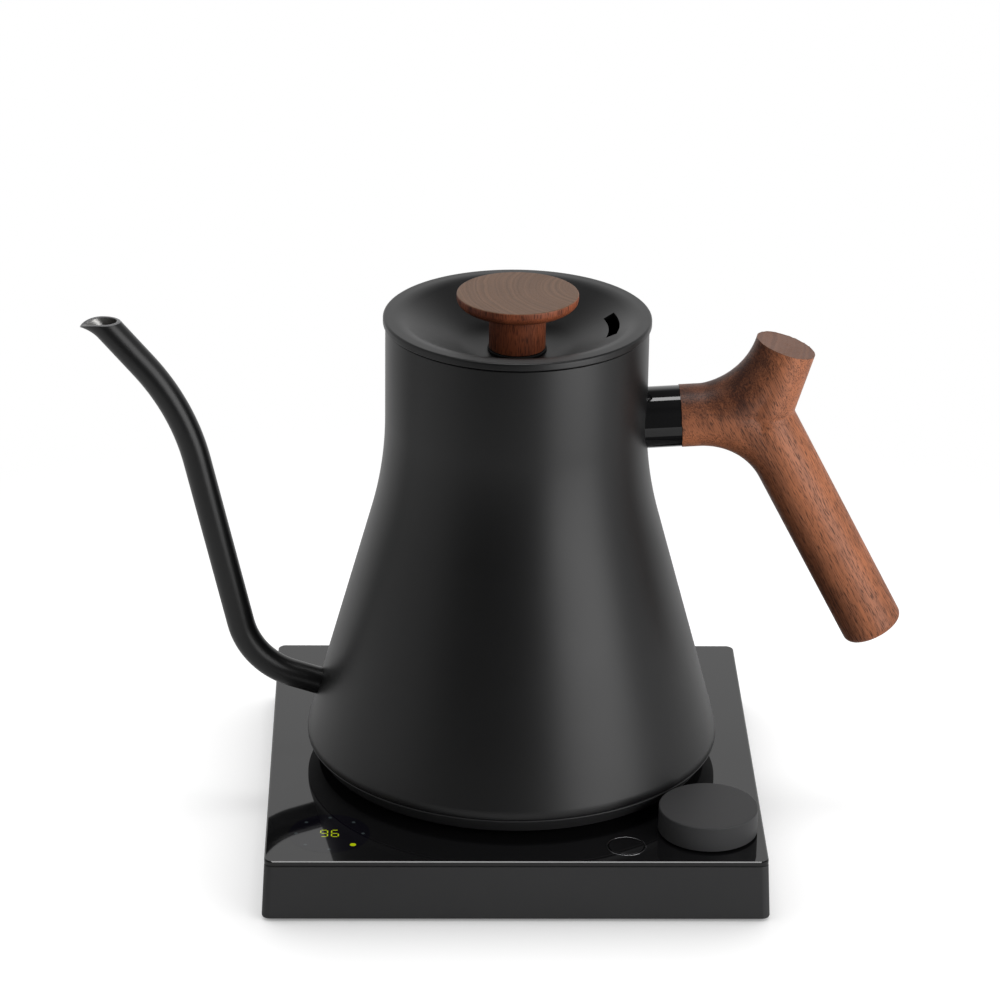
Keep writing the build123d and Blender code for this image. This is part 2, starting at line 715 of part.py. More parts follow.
def heat_spreader():
    """Aluminium disc under the floor that evens out the heat."""
    plate = disc(SPREADER_RADIUS, spreader_low, heater_low)
    return plate - disc(PROBE_FLANGE_RADIUS + SEAT_GAP, spreader_low, heater_low, PROBE_X)


element_z = spreader_low - ELEMENT_RADIUS - SEAT_GAP
element_gap = radians(360 - ELEMENT_SWEEP) / 2


def element_point(angle):
    """Place on the heating element's ring, measured from the front of the kettle."""
    return (ELEMENT_RING_RADIUS * sin(angle), -ELEMENT_RING_RADIUS * cos(angle), element_z)


def heating_element():
    """Tubular element bent to an open ring under the spreader."""
    start = element_point(element_gap)
    middle = element_point(pi)
    path = ThreePointArc(start, middle, element_point(-element_gap))
    return swept(path, ELEMENT_RADIUS)


def element_leads():
    """Two leads from the element's cold ends to the coupler."""
    leads = []
    for side in (1, -1):
        x, y, z = element_point(side * element_gap)
        along = (-side * cos(element_gap), -sin(element_gap), 0)
        start = (x + SEAT_GAP * along[0], y + SEAT_GAP * along[1], z)
        bend = (x + LEAD_STUB * along[0], y + LEAD_STUB * along[1], z)
        end_x = bend[0]
        end_y = -sqrt((coupler_out + SEAT_GAP) ** 2 - (abs(end_x) - LEAD_RADIUS) ** 2)
        path = FilletPolyline(start, bend, (end_x, end_y, z), radius=LEAD_BEND)
        leads.append(swept(path, LEAD_RADIUS))
    return group(leads)


def temperature_probe():
    """Steel probe tip that stands in the water, with its flange below the floor."""
    tip = disc(PROBE_RADIUS, spreader_low, heater_top + PROBE_PROUD, PROBE_X)
    return tip + disc(PROBE_FLANGE_RADIUS, spreader_low, heater_low - SEAT_GAP, PROBE_X)


def probe_seal():
    """Silicone ring round the probe on the floor."""
    inner = PROBE_RADIUS + SEAT_GAP
    return ring(inner, PROBE_FLANGE_RADIUS, heater_top, heater_top + PROBE_FLANGE, PROBE_X)


def dry_boil_cutout():
    """Thermal switch that opens when the kettle runs dry."""
    return disc(CUTOUT_RADIUS, spreader_low - CUTOUT_HEIGHT, spreader_low, CUTOUT_X)


def stud_places():
    """Places of the posts under the floor that the cover is screwed to."""
    return around(STUD_RING_RADIUS, STUD_COUNT, STUD_START)


def cover_studs():
    """Posts welded under the heat spreader."""
    studs = []
    for x, y in stud_places():
        post = disc(STUD_RADIUS, cover_floor, spreader_low, x, y)
        hole_top = cover_low + COVER_HEAD_HEIGHT + COVER_SCREW_LENGTH + SEAT_GAP
        studs.append(post - disc(COVER_SCREW_RADIUS + SEAT_GAP, cover_floor, hole_top, x, y))
    return group(studs)


def cover_screws():
    """Screws from below that hold the cover to the posts."""
    size = (COVER_HEAD_RADIUS, COVER_HEAD_HEIGHT, COVER_SCREW_RADIUS, COVER_SCREW_LENGTH)
    return group([screw(x, y, cover_low, *size) for x, y in stud_places()])


def bottom_cover():
    """Black underside of the kettle: a tapered skirt, a floor and a low ring that it stands on."""
    top_radius = wall_radius(shell_low)
    hole = coupler_out + SEAT_GAP
    cover = turned(
        (hole, cover_low),
        (cover_low_radius, cover_low),
        (top_radius, cover_top),
        (top_radius - COVER_WALL, cover_top),
        (cover_low_radius - COVER_WALL, cover_floor),
        (hole, cover_floor),
    )
    cover += ring(COVER_FOOT_RADIUS, COVER_FOOT_RADIUS + COVER_FOOT_WIDTH, panel, cover_low)
    for x, y in stud_places():
        cover -= disc(COVER_HEAD_RADIUS + SEAT_GAP, cover_low, cover_low + COVER_HEAD_HEIGHT, x, y)
        cover -= disc(COVER_SCREW_RADIUS + SEAT_GAP, cover_low, cover_floor, x, y)
    return cover


def shell_gasket():
    """Dark seal between the shell's edge and the cover, set in so that it shows as a groove."""
    outer = wall_radius(shell_low) - GASKET_INSET
    return ring(outer - GASKET_WIDTH, outer, cover_top, shell_low)


def kettle_coupler():
    """Round coupler under the kettle that drops over the base's socket from any side."""
    body = disc(coupler_out, cover_low, coupler_top) - disc(coupler_in, cover_low, coupler_roof)
    flange_high = cover_floor + COUPLER_FLANGE_THICKNESS
    return body + ring(coupler_out, coupler_out + COUPLER_FLANGE, cover_floor, flange_high)


def coupler_contacts():
    """Contact ring and centre sleeve that enter the socket's groove and pin hole."""
    ring_in = groove_mid - COUPLER_RING_WALL / 2
    outer = ring(ring_in, ring_in + COUPLER_RING_WALL, panel + MATE_GAP, coupler_roof)
    sleeve_in = SOCKET_PIN_RADIUS + RUN_GAP
    sleeve_out = SOCKET_PIN_HOLE - RUN_GAP
    sleeve = ring(sleeve_in, sleeve_out, panel + MATE_GAP, coupler_roof)
    return group([outer, sleeve])


bracket_end = NECK_RADIUS + BRACKET_LENGTH


def along_arm(radius, start, end):
    """Round bar on the handle's arm axis."""
    return bar_between(radius, (start, 0, arm), (end, 0, arm))


def handle_bracket():
    """Steel boss welded to the neck, tapped for the handle bolt."""
    boss = along_arm(BRACKET_DIAMETER / 2, 0, bracket_end) - kettle_form(0, shell_low, rim)
    return boss - along_arm(BOLT_DIAMETER / 2 + SEAT_GAP, 0, bracket_end)


def handle_collar():
    """Black spacer between the shell and the wood, hollow over the bracket."""
    collar = along_arm(COLLAR_DIAMETER / 2, 0, collar_end)
    collar -= kettle_form(-SEAT_GAP, shell_low, rim)
    collar -= along_arm(BRACKET_DIAMETER / 2 + SEAT_GAP, 0, bracket_end + SEAT_GAP)
    return collar - along_arm(BOLT_DIAMETER / 2 + SEAT_GAP, 0, collar_end)


def handle_bolt():
    """Threaded bolt that ties the wood to the bracket."""
    start = wall_radius(arm - BOLT_DIAMETER / 2) + SEAT_GAP
    return along_arm(BOLT_DIAMETER / 2, start, collar_end + BOLT_TAIL)


def handle_insert():
    """Brass insert glued into the wooden arm."""
    sleeve = along_arm(INSERT_DIAMETER / 2, collar_end, collar_end + INSERT_DEPTH)
    return sleeve - along_arm(BOLT_DIAMETER / 2 + SEAT_GAP, collar_end, collar_end + BOLT_TAIL + SEAT_GAP)


def capsule(radius, start, end):
    """Round bar with a domed far end."""
    run = Vector(*end) - Vector(*start)
    shoulder = (radius, 0, run.length)
    tip = (0, 0, run.length + radius)
    middle = (radius * sin(pi / 4), 0, run.length + radius * cos(pi / 4))
    edges = [
        Line((0, 0, 0), (radius, 0, 0)),
        Line((radius, 0, 0), shoulder),
        ThreePointArc(shoulder, middle, tip),
        Line(tip, (0, 0, 0)),
    ]
    return Plane(origin=start, z_dir=run) * revolve(make_face(edges), Axis.Z)


def handle():
    """Turned and carved wooden handle: an arm that forks into a long grip and a short thumb rest."""
    grip_lean = radians(GRIP_LEAN)
    branch_lean = radians(BRANCH_LEAN)
    fork_x = collar_end + GRIP_REACH
    branch_x = collar_end + BRANCH_REACH

    def on_grip(distance):
        return (fork_x + distance * sin(grip_lean), 0, arm - distance * cos(grip_lean))

    def on_branch(distance):
        return (branch_x + distance * sin(branch_lean), 0, arm + distance * cos(branch_lean))

    start = (collar_end, 0, arm)
    grip_path = FilletPolyline(start, (fork_x, 0, arm), on_grip(GRIP_LENGTH), radius=GRIP_BEND)
    branch_path = FilletPolyline(start, (branch_x, 0, arm), on_branch(BRANCH_LENGTH), radius=BRANCH_BEND)
    wood = swept(grip_path, GRIP_DIAMETER / 2) + swept(branch_path, BRANCH_DIAMETER / 2)
    grip_bar = (GRIP_DIAMETER / 2 - CROTCH_INSET, on_grip(GRIP_LENGTH / 2), on_grip(CROTCH_GRIP_SET))
    branch_radius = BRANCH_DIAMETER / 2 - CROTCH_INSET
    branch_bar = (branch_radius, on_branch(BRANCH_LENGTH - HANDLE_EDGE), on_branch(CROTCH_BRANCH_SET))
    wood = wood + capsule(*grip_bar) + capsule(*branch_bar)
    ends = wood.edges().filter_by(GeomType.CIRCLE)
    grip_end = ends.sort_by_distance(on_grip(GRIP_LENGTH))[0]
    wood = fillet(grip_end, HANDLE_EDGE)
    return wood - along_arm(INSERT_DIAMETER / 2, collar_end, collar_end + INSERT_DEPTH + SEAT_GAP)


def lid_surface(drop):
    """Edges of the lid's dished line from the axis to its flat land, a drop below the outer face."""
    flat = WASHER_RADIUS + LID_BOWL_MARGIN
    span = skirt_in - flat
    bends = LID_BROW_BEND + LID_BOWL_BEND
    rise = bends - LID_BOWL_DEPTH
    slope = asin(bends / sqrt(span**2 + rise**2)) - atan2(rise, span)
    floor = bowl_floor - drop
    land = lid_top - drop
    brow = LID_BROW_BEND - drop
    bowl = LID_BOWL_BEND + drop

    def bowl_point(angle):
        return (flat + bowl * sin(angle), 0, floor + bowl * (1 - cos(angle)))

    def brow_point(angle):
        return (skirt_in - brow * sin(angle), 0, land - brow * (1 - cos(angle)))

    return [
        Line((0, 0, floor), bowl_point(0)),
        ThreePointArc(bowl_point(0), bowl_point(slope / 2), bowl_point(slope)),
        Line(bowl_point(slope), brow_point(slope)),
        ThreePointArc(brow_point(slope), brow_point(slope / 2), brow_point(0)),
    ]


def lid_cover():
    """Pressed steel lid: a dish with a raised rim, a hemmed edge and a steam slot towards the handle."""
    shoulder = lid_radius - LID_EDGE_ROUND
    bend = LID_EDGE_ROUND * cos(pi / 4)
    edge_top = lid_top - LID_EDGE_ROUND
    under = lid_top - LID_SHEET
    hem_in = NECK_RADIUS - SHELL_WALL
    edges = lid_surface(0) + [
        Line((skirt_in, 0, lid_top), (shoulder, 0, lid_top)),
        ThreePointArc(
            (shoulder, 0, lid_top), (shoulder + bend, 0, edge_top + bend), (lid_radius, 0, edge_top)
        ),
        Line((lid_radius, 0, edge_top), (lid_radius, 0, rim)),
        Line((lid_radius, 0, rim), (hem_in, 0, rim)),
        Line((hem_in, 0, rim), (hem_in, 0, under)),
        Line((hem_in, 0, under), (skirt_in, 0, under)),
        Line((0, 0, bowl_floor - LID_SHEET), (0, 0, bowl_floor)),
    ]
    cover = revolve(make_face(edges + lid_surface(LID_SHEET)), Axis.Z)
    slot = ring(SLOT_IN, SLOT_OUT, skirt_low, lid_top)
    side = lid_radius * sin(radians(SLOT_ARC / 2))
    reach = lid_radius * cos(radians(SLOT_ARC / 2))
    wedge = make_face(Polyline((0, 0), (reach, -side), (reach, side), close=True))
    slot &= Pos(0, 0, skirt_low) * extrude(wedge, lid_top - skirt_low)
    return cover - slot - disc(LID_SCREW_RADIUS + SEAT_GAP, bowl_floor - LID_SHEET, bowl_floor)


def lid_skirt():
    """Moulded ring under the lid that guides it into the neck, grooved for the seal."""
    groove_high = rim - SEAL_DROP
    skirt = ring(skirt_in, skirt_out, skirt_low, lid_top - LID_SHEET)
    return skirt - ring(skirt_out - SEAL_BITE, skirt_out, groove_high - SEAL_HEIGHT, groove_high)


def lid_seal():
    """Silicone ring that centres the lid in the neck."""
    high = rim - SEAL_DROP
    outer = NECK_RADIUS - SHELL_WALL - RUN_GAP
    return ring(skirt_out - SEAL_BITE + SEAT_GAP, outer, high - SEAL_HEIGHT, high)


liner_top = bowl_floor - LID_SHEET - LID_SCREW_HEAD_HEIGHT


def lid_liner():
    """Inner plate that closes the lid from below, with a ring of steam holes."""
    plate = disc(skirt_in - SEAT_GAP, liner_top - LINER_THICKNESS, liner_top)
    for x, y in around(VENT_RING_RADIUS, VENT_COUNT):
        plate -= disc(VENT_RADIUS, liner_top - LINER_THICKNESS, liner_top, x, y)
    return plate


def knob_washer():
    """Thin black ring under the knob's stem."""
    return ring(LID_SCREW_RADIUS + SEAT_GAP, WASHER_RADIUS, bowl_floor, knob_foot)


def lid_knob():
    """Turned wooden knob: a flat cap on a round stem."""
    top = knob_foot + KNOB_HEIGHT
    rim_low = top - KNOB_RIM
    belly_low = rim_low - KNOB_BELLY
    edge_start = (KNOB_RADIUS - KNOB_EDGE, 0, top)
    edge_end = (KNOB_RADIUS, 0, top - KNOB_EDGE)
    bend = KNOB_EDGE * cos(pi / 4)
    edge_middle = (edge_start[0] + bend, 0, edge_end[2] + bend)
    belly_span = KNOB_RADIUS - STEM_RADIUS
    belly_middle = (STEM_RADIUS + belly_span * cos(pi / 4), 0, rim_low - KNOB_BELLY * sin(pi / 4))
    edges = [
        Line((0, 0, top), edge_start),
        ThreePointArc(edge_start, edge_middle, edge_end),
        Line(edge_end, (KNOB_RADIUS, 0, rim_low)),
        ThreePointArc((KNOB_RADIUS, 0, rim_low), belly_middle, (STEM_RADIUS, 0, belly_low)),
        Line((STEM_RADIUS, 0, belly_low), (STEM_RADIUS, 0, knob_foot)),
        Line((STEM_RADIUS, 0, knob_foot), (0, 0, knob_foot)),
        Line((0, 0, knob_foot), (0, 0, top)),
    ]
    knob = revolve(make_face(edges), Axis.Z)
    hole_top = liner_top + LID_SCREW_HEAD_HEIGHT + LID_SCREW_LENGTH
    return knob - disc(LID_SCREW_RADIUS + SEAT_GAP, knob_foot, hole_top)


def lid_screw():
    """Screw up through the lid into the knob."""
    return screw(0, 0, liner_top, LID_SCREW_HEAD, LID_SCREW_HEAD_HEIGHT, LID_SCREW_RADIUS, LID_SCREW_LENGTH)


os.makedirs("parts", exist_ok=True)
nodes = {
    "base_housing": base_housing(),
    "top_panel": top_panel(),
    "bottom_plate": bottom_plate(),
    "rubber_foot": rubber_foot(),
    "base_screws": base_screws(),
    "control_board": circuit_board(control_board_length, CONTROL_BOARD_DEPTH, control_board_y),
    "power_board": circuit_board(power_board_length, POWER_BOARD_DEPTH, power_board_y),
    "board_screws": board_screws(),
    "display_module": block(DISPLAY_SIDE, DISPLAY_SIDE, board_top, seam, display_x, display_y),
    "power_relay": board_block(RELAY_SIZE, relay_x, power_board_y),
    "transformer": transformer(),
    "terminal_block": board_block(TERMINAL_SIZE, 0, power_board_y),
    "filter_capacitor": filter_capacitor(),
    "power_socket": power_socket(),
    "socket_contacts": socket_contacts(),
    "socket_wires": socket_wires(),
    "cord_gland": cord_gland(),
    "encoder_body": encoder_body(),
    "encoder_nut": encoder_nut(),
    "encoder_rotor": encoder_rotor(),
    "dial_dome": dial_dome(),
    "dial_shaft": dial_shaft(),
    "dial_knob": dial_knob(),
    "button_cap": button_cap(),
    "button_bezel": button_bezel(),
    "button_switch": button_switch(),
    "button_dome": button_dome(),
    "kettle_shell": kettle_shell(),
    "spout": spout(),
    "heater_plate": heater_plate(),
    "heat_spreader": heat_spreader(),
    "heating_element": heating_element(),
    "element_leads": element_leads(),
    "temperature_probe": temperature_probe(),
    "probe_seal": probe_seal(),
    "dry_boil_cutout": dry_boil_cutout(),
    "cover_studs": cover_studs(),
    "cover_screws": cover_screws(),
    "bottom_cover": bottom_cover(),
    "shell_gasket": shell_gasket(),
    "kettle_coupler": kettle_coupler(),
    "coupler_contacts": coupler_contacts(),
    "handle_bracket": handle_bracket(),
    "handle_collar": handle_collar(),
    "handle_bolt": handle_bolt(),
    "handle_insert": handle_insert(),
    "handle": handle(),
    "lid_cover": lid_cover(),
    "lid_skirt": lid_skirt(),
    "lid_seal": lid_seal(),
    "lid_liner": lid_liner(),
    "knob_washer": knob_washer(),
    "lid_knob": lid_knob(),
    "lid_screw": lid_screw(),
}
for name, shape in nodes.items():
    export_step(shape, f"parts/{name}.step")
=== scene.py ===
import json
from math import asin, atan2, copysign, cos, degrees, hypot, pi, radians, sin, tan

import bmesh
import bpy
from mathutils import Matrix, Vector


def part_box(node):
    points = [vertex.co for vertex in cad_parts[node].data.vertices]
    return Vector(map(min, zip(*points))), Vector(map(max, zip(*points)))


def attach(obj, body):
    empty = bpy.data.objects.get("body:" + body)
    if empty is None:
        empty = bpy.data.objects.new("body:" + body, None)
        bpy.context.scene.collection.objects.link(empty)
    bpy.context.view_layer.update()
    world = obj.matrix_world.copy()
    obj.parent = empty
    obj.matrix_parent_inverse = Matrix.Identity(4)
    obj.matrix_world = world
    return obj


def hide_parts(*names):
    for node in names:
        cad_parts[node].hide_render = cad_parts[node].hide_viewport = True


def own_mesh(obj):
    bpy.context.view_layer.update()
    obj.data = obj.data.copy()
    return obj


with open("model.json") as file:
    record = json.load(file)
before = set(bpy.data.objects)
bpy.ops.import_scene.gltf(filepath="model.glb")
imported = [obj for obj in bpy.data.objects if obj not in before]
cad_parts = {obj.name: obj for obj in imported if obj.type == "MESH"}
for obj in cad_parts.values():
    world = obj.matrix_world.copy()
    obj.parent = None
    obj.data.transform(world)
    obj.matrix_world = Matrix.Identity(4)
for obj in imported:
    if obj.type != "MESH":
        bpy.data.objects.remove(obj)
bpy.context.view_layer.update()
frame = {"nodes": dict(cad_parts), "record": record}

# Studio: a pale floor, a white room that is bright behind the object and dark on the viewer's side,
# one tall softbox on the right and one bright softbox overhead.
# The viewpoint looks down on the base's front edge through a long lens.
MM = 0.001
CAMERA_PLACE = (-38.03, -1287.94, 673.58)
CAMERA_PITCH = 23.3263
CAMERA_YAW = -1.4631
CAMERA_ROLL = 0.7516
CAMERA_LENS = 146.05
CAMERA_SENSOR = 36.0
VIEW_DEPTH = 20000.0
FLOOR_RADIUS = 400.0
FLOOR_SIDES = 96
FLOOR_FADE_START = 190.0
FLOOR_FADE_END = 370.0
FLOOR_GLOW = 0.82
FLOOR_MIRRORED = 0.36
FLOOR_SHADE_REACH = 40.0
FLOOR_SHADE_DEPTH = 0.82
FLOOR_SHADE_LEAN = 30.0
FRONT_EDGE = (-0.85, -0.35)
BACK_EDGE = (0.6, 0.92)
TOP_EDGE = (0.46, 0.78)
ROOM_FRONT = 0.08
ROOM_SIDES = 0.5
ROOM_BACK = 0.4
ROOM_TOP = 0.18
KEY_PLACE = (800.0, -700.0, 200.0)
KEY_AIM = (0.0, 0.0, 100.0)
KEY_WIDTH = 850.0
KEY_HEIGHT = 1160.0
KEY_POWER = 8.4
TOP_PLACE = (0.0, 20.0, 1500.0)
TOP_WIDTH = 720.0
TOP_DEPTH = 340.0
TOP_POWER = 6.2
SMOOTH = {"interpolation_type": "SMOOTHSTEP"}


def linear(code):
    """Linear colour of an sRGB hex value."""
    channels = [int(code[place:place + 2], 16) / 255 for place in (1, 3, 5)]
    return [c / 12.92 if c <= 0.04045 else ((c + 0.055) / 1.055) ** 2.4 for c in channels] + [1.0]


def fill(node, inputs):
    """Set a shader node's inputs, by name or in order, each to a value or to a socket linked to it."""
    for name, value in inputs.items() if isinstance(inputs, dict) else enumerate(inputs):
        if isinstance(value, bpy.types.NodeSocket):
            node.id_data.links.new(value, node.inputs[name])
        else:
            node.inputs[name].default_value = value


def add(tree, kind, inputs=(), **settings):
    """Shader node with its settings and inputs; gives its first output."""
    node = tree.nodes.new("ShaderNode" + kind)
    for name, value in settings.items():
        setattr(node, name, value)
    fill(node, inputs)
    return next((socket for socket in node.outputs if socket.enabled), None)


def metres(*values):
    """Point in metres from millimetres."""
    return Vector(values) * MM


def clear():
    """Deselect every object."""
    bpy.ops.object.select_all(action="DESELECT")


camera = bpy.data.objects.new("camera", bpy.data.cameras.new("camera"))
bpy.context.scene.collection.objects.link(camera)
camera.data.lens = CAMERA_LENS
camera.data.sensor_width = CAMERA_SENSOR
camera.data.clip_end = VIEW_DEPTH * MM
turn_yaw = Matrix.Rotation(radians(CAMERA_YAW), 4, "Z")
turn_pitch = Matrix.Rotation(radians(90 - CAMERA_PITCH), 4, "X")
turn_roll = Matrix.Rotation(radians(CAMERA_ROLL), 4, "Z")
camera.matrix_world = Matrix.Translation(metres(*CAMERA_PLACE)) @ turn_yaw @ turn_pitch @ turn_roll
bpy.context.scene.camera = camera
bpy.context.scene.view_settings.view_transform = "Standard"


def softbox(name, place, aim, width, height, power):
    """Rectangular lamp that faces a point."""
    lamp = bpy.data.lights.new(name, "AREA")
    lamp.shape = "RECTANGLE"
    lamp.size = width * MM
    lamp.size_y = height * MM
    lamp.energy = power
    box = bpy.data.objects.new(name, lamp)
    bpy.context.scene.collection.objects.link(box)
    box.location = metres(*place)
    box.rotation_euler = (metres(*aim) - metres(*place)).to_track_quat("-Z", "Y").to_euler()


softbox("softbox_right", KEY_PLACE, KEY_AIM, KEY_WIDTH, KEY_HEIGHT, KEY_POWER)
softbox("softbox_top", TOP_PLACE, (0, 0, 0), TOP_WIDTH, TOP_DEPTH, TOP_POWER)

world = bpy.data.worlds.new("studio")
bpy.context.scene.world = world
world.use_nodes = True
room = world.node_tree
room.nodes.clear()
place = add(room, "TexCoord").node.outputs["Generated"]
towards = add(room, "SeparateXYZ", {"Vector": place}).node.outputs
sides = add(room, "MapRange", (towards["Y"], *FRONT_EDGE, ROOM_FRONT, ROOM_SIDES), **SMOOTH)
back = add(room, "MapRange", (towards["Y"], *BACK_EDGE, 0, ROOM_BACK), **SMOOTH)
height = add(room, "MapRange", (towards["Z"], *TOP_EDGE, 1, ROOM_TOP), **SMOOTH)
walls = add(room, "Math", (sides, back), operation="ADD")
level = add(room, "Math", (walls, height), operation="MULTIPLY")
lit = add(room, "Background", {"Color": linear("#ffffff"), "Strength": level})
white = add(room, "Background", {"Color": linear("#ffffff"), "Strength": 1.0})
path = add(room, "LightPath").node.outputs
shown = add(room, "MixShader", (path["Is Camera Ray"], lit, white))
add(room, "OutputWorld", {"Surface": shown})

# White paper: it glows into the white room at its edge, and is shaded where it meets the base.
# The shade leans towards the viewer, as it does in front of a bright back wall.
clear()
bpy.ops.mesh.primitive_circle_add(vertices=FLOOR_SIDES, radius=FLOOR_RADIUS * MM, fill_type="NGON")
floor = bpy.context.object
floor.name = "floor"
paper = bpy.data.materials.new("white_paper")
paper.use_nodes = True
tree = paper.node_tree
tree.nodes.clear()
place = add(tree, "TexCoord").node.outputs["Object"]
reach = add(tree, "VectorMath", (place,), operation="LENGTH")
fade = add(tree, "MapRange", (reach, FLOOR_FADE_START * MM, FLOOR_FADE_END * MM), **SMOOTH)
path = add(tree, "LightPath").node.outputs
mirrored = add(tree, "Math", (path["Is Glossy Ray"], FLOOR_MIRRORED), operation="MULTIPLY")
seen = add(tree, "Math", (path["Is Camera Ray"], mirrored), operation="MAXIMUM")
seen = add(tree, "Math", (seen, path["Is Transmission Ray"]), operation="MAXIMUM")
share = add(tree, "Math", (fade, seen), operation="MULTIPLY")
shade_lean = radians(FLOOR_SHADE_LEAN)
towards_back = add(tree, "CombineXYZ", {"Y": sin(shade_lean), "Z": cos(shade_lean)})
open_sky = add(tree, "AmbientOcclusion", {
    "Distance": FLOOR_SHADE_REACH * MM, "Normal": towards_back}, samples=8).node.outputs["AO"]
lift = add(tree, "MapRange", (open_sky, 0, 1, FLOOR_GLOW * (1 - FLOOR_SHADE_DEPTH), FLOOR_GLOW))
lift = add(tree, "Math", (lift, seen), operation="MULTIPLY")
matte = add(tree, "BsdfDiffuse", {"Color": linear("#c4c4c4")})
sheen = add(tree, "Emission", {"Color": linear("#ffffff"), "Strength": lift})
near = add(tree, "AddShader", (matte, sheen))
glow = add(tree, "Emission", {"Color": linear("#ffffff"), "Strength": 1.0})
mixed = add(tree, "MixShader", (share, near, glow))
add(tree, "OutputMaterial", {"Surface": mixed})
floor.data.materials.append(paper)

# Base case: the square moulded body of the heating base, in black ABS with a fine eroded grain.
# It flares a little towards the table, and is screwed to its bottom plate from below.
CASE_CORNER = 2.8
CASE_TOP_ROUND = 0.45
CASE_LOW_ROUND = 0.7
CASE_LEDGE = 2.4
CASE_WALL = 2.0
ABS_GRAIN = 0.35
ABS_PATCH = 30.0
NEAR = 0.01 * MM


def mode(name):
    """Go to edit mode or object mode."""
    if not bpy.context.mode.startswith(name):
        bpy.ops.object.mode_set(mode=name)


def select(piece, kind, test):
    """In edit mode, select only the vertices, edges or faces that pass a test."""
    bpy.ops.mesh.select_mode(type=kind)
    bpy.ops.mesh.select_all(action="DESELECT")
    mesh = bmesh.from_edit_mesh(piece.data)
    parts = {"VERT": mesh.verts, "EDGE": mesh.edges, "FACE": mesh.faces}[kind]
    parts.ensure_lookup_table()
    for part in parts:
        part.select_set(test(part))
    mesh.select_flush_mode()
    bmesh.update_edit_mesh(piece.data)


def select_whole():
    """In edit mode, select the whole mesh."""
    bpy.ops.mesh.select_all(action="SELECT")


def round_edges(piece, test, size, rows):
    """In edit mode, round off the edges that pass a test."""
    select(piece, "EDGE", test)
    bpy.ops.mesh.bevel(offset=size * MM, segments=rows, affect="EDGES")


def settle(name):
    """Name the new primitive, and move its place into its mesh."""
    piece = bpy.context.object
    piece.name = name
    bpy.ops.object.transform_apply(location=True, rotation=True, scale=True)
    return piece


def start_box(name, low, high):
    """Box between two corners, in edit mode."""
    clear()
    bpy.ops.mesh.primitive_cube_add(size=1.0, location=(low + high) / 2)
    bpy.context.object.scale = high - low
    piece = settle(name)
    mode("EDIT")
    return piece


def upright(edge):
    """Whether an edge stands along the vertical."""
    along = (edge.verts[0].co - edge.verts[1].co).normalized()
    return abs(along.z) > 0.9


def at_height(height):
    """Test of whether all corners of an edge or face lie at a height."""
    return lambda part: all(abs(corner.co.z - height) < NEAR for corner in part.verts)


def modify(piece, kind, **settings):
    """Add a modifier in object mode and apply it."""
    mode("OBJECT")
    bpy.context.view_layer.objects.active = piece
    modifier = piece.modifiers.new(kind.lower(), kind)
    for name, value in settings.items():
        setattr(modifier, name, value)
    bpy.ops.object.modifier_apply(modifier=modifier.name)


def finish_piece(piece, material, body, angle=35.0):
    """Leave edit mode, shade the piece, and give it its finish and its body."""
    mode("OBJECT")
    clear()
    bpy.context.view_layer.objects.active = piece
    piece.select_set(True)
    bpy.ops.object.shade_smooth_by_angle(angle=radians(angle))
    modify(piece, "WEIGHTED_NORMAL", keep_sharp=True)
    if not piece.data.materials:
        piece.data.materials.append(material)
    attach(piece, body)


def start_material(name):
    """Material with its node tree, its shader and the object's own coordinates."""
    material = bpy.data.materials.new(name)
    material.use_nodes = True
    tree = material.node_tree
    return material, tree, tree.nodes["Principled BSDF"], add(tree, "TexCoord").node.outputs["Object"]


def surface(name, grain, tones, polish, tone_patch=None, polish_patch=None, stretch=(1, 1, 1),
            detail=2.0, roughness=0.5, relief=0.0, depth=0.02, fixed=None):
    """Material whose tone and polish vary with its grain or with larger patches; sizes in millimetres."""
    material, tree, shader, place = start_material(name)
    laid = add(tree, "Mapping", {"Vector": place, "Scale": stretch})
    fine = add(tree, "TexNoise", {
        "Vector": laid, "Scale": 1 / (grain * MM), "Detail": detail, "Roughness": roughness})
    patches = {None: fine}
    for size in {tone_patch, polish_patch} - {None}:
        patches[size] = add(tree, "TexNoise", {"Vector": place, "Scale": 1 / (size * MM), "Detail": 3.0})
    tone = add(tree, "Mix", {
        "Factor": patches[tone_patch], "A": linear(tones[0]), "B": linear(tones[1])}, data_type="RGBA")
    rough = add(tree, "MapRange", (patches[polish_patch], 0, 1, *polish))
    fill(shader, {"Base Color": tone, "Roughness": rough, **(fixed or {})})
    if relief:
        bump = add(tree, "Bump", {"Height": fine, "Strength": relief, "Distance": depth * MM})
        fill(shader, {"Normal": bump})
    return material


# Moulded ABS: a fine even grain scatters the light, so the face is a flat dark grey with a soft sheen.
# The grain is drawn about three times as coarse as the real one, which would not show.
moulded_abs = surface(
    "moulded_abs", ABS_GRAIN, ("#2a2a2b", "#323233"), (0.46, 0.6), tone_patch=ABS_PATCH,
    roughness=0.6, relief=0.25, depth=0.03, fixed={"IOR": 1.5})

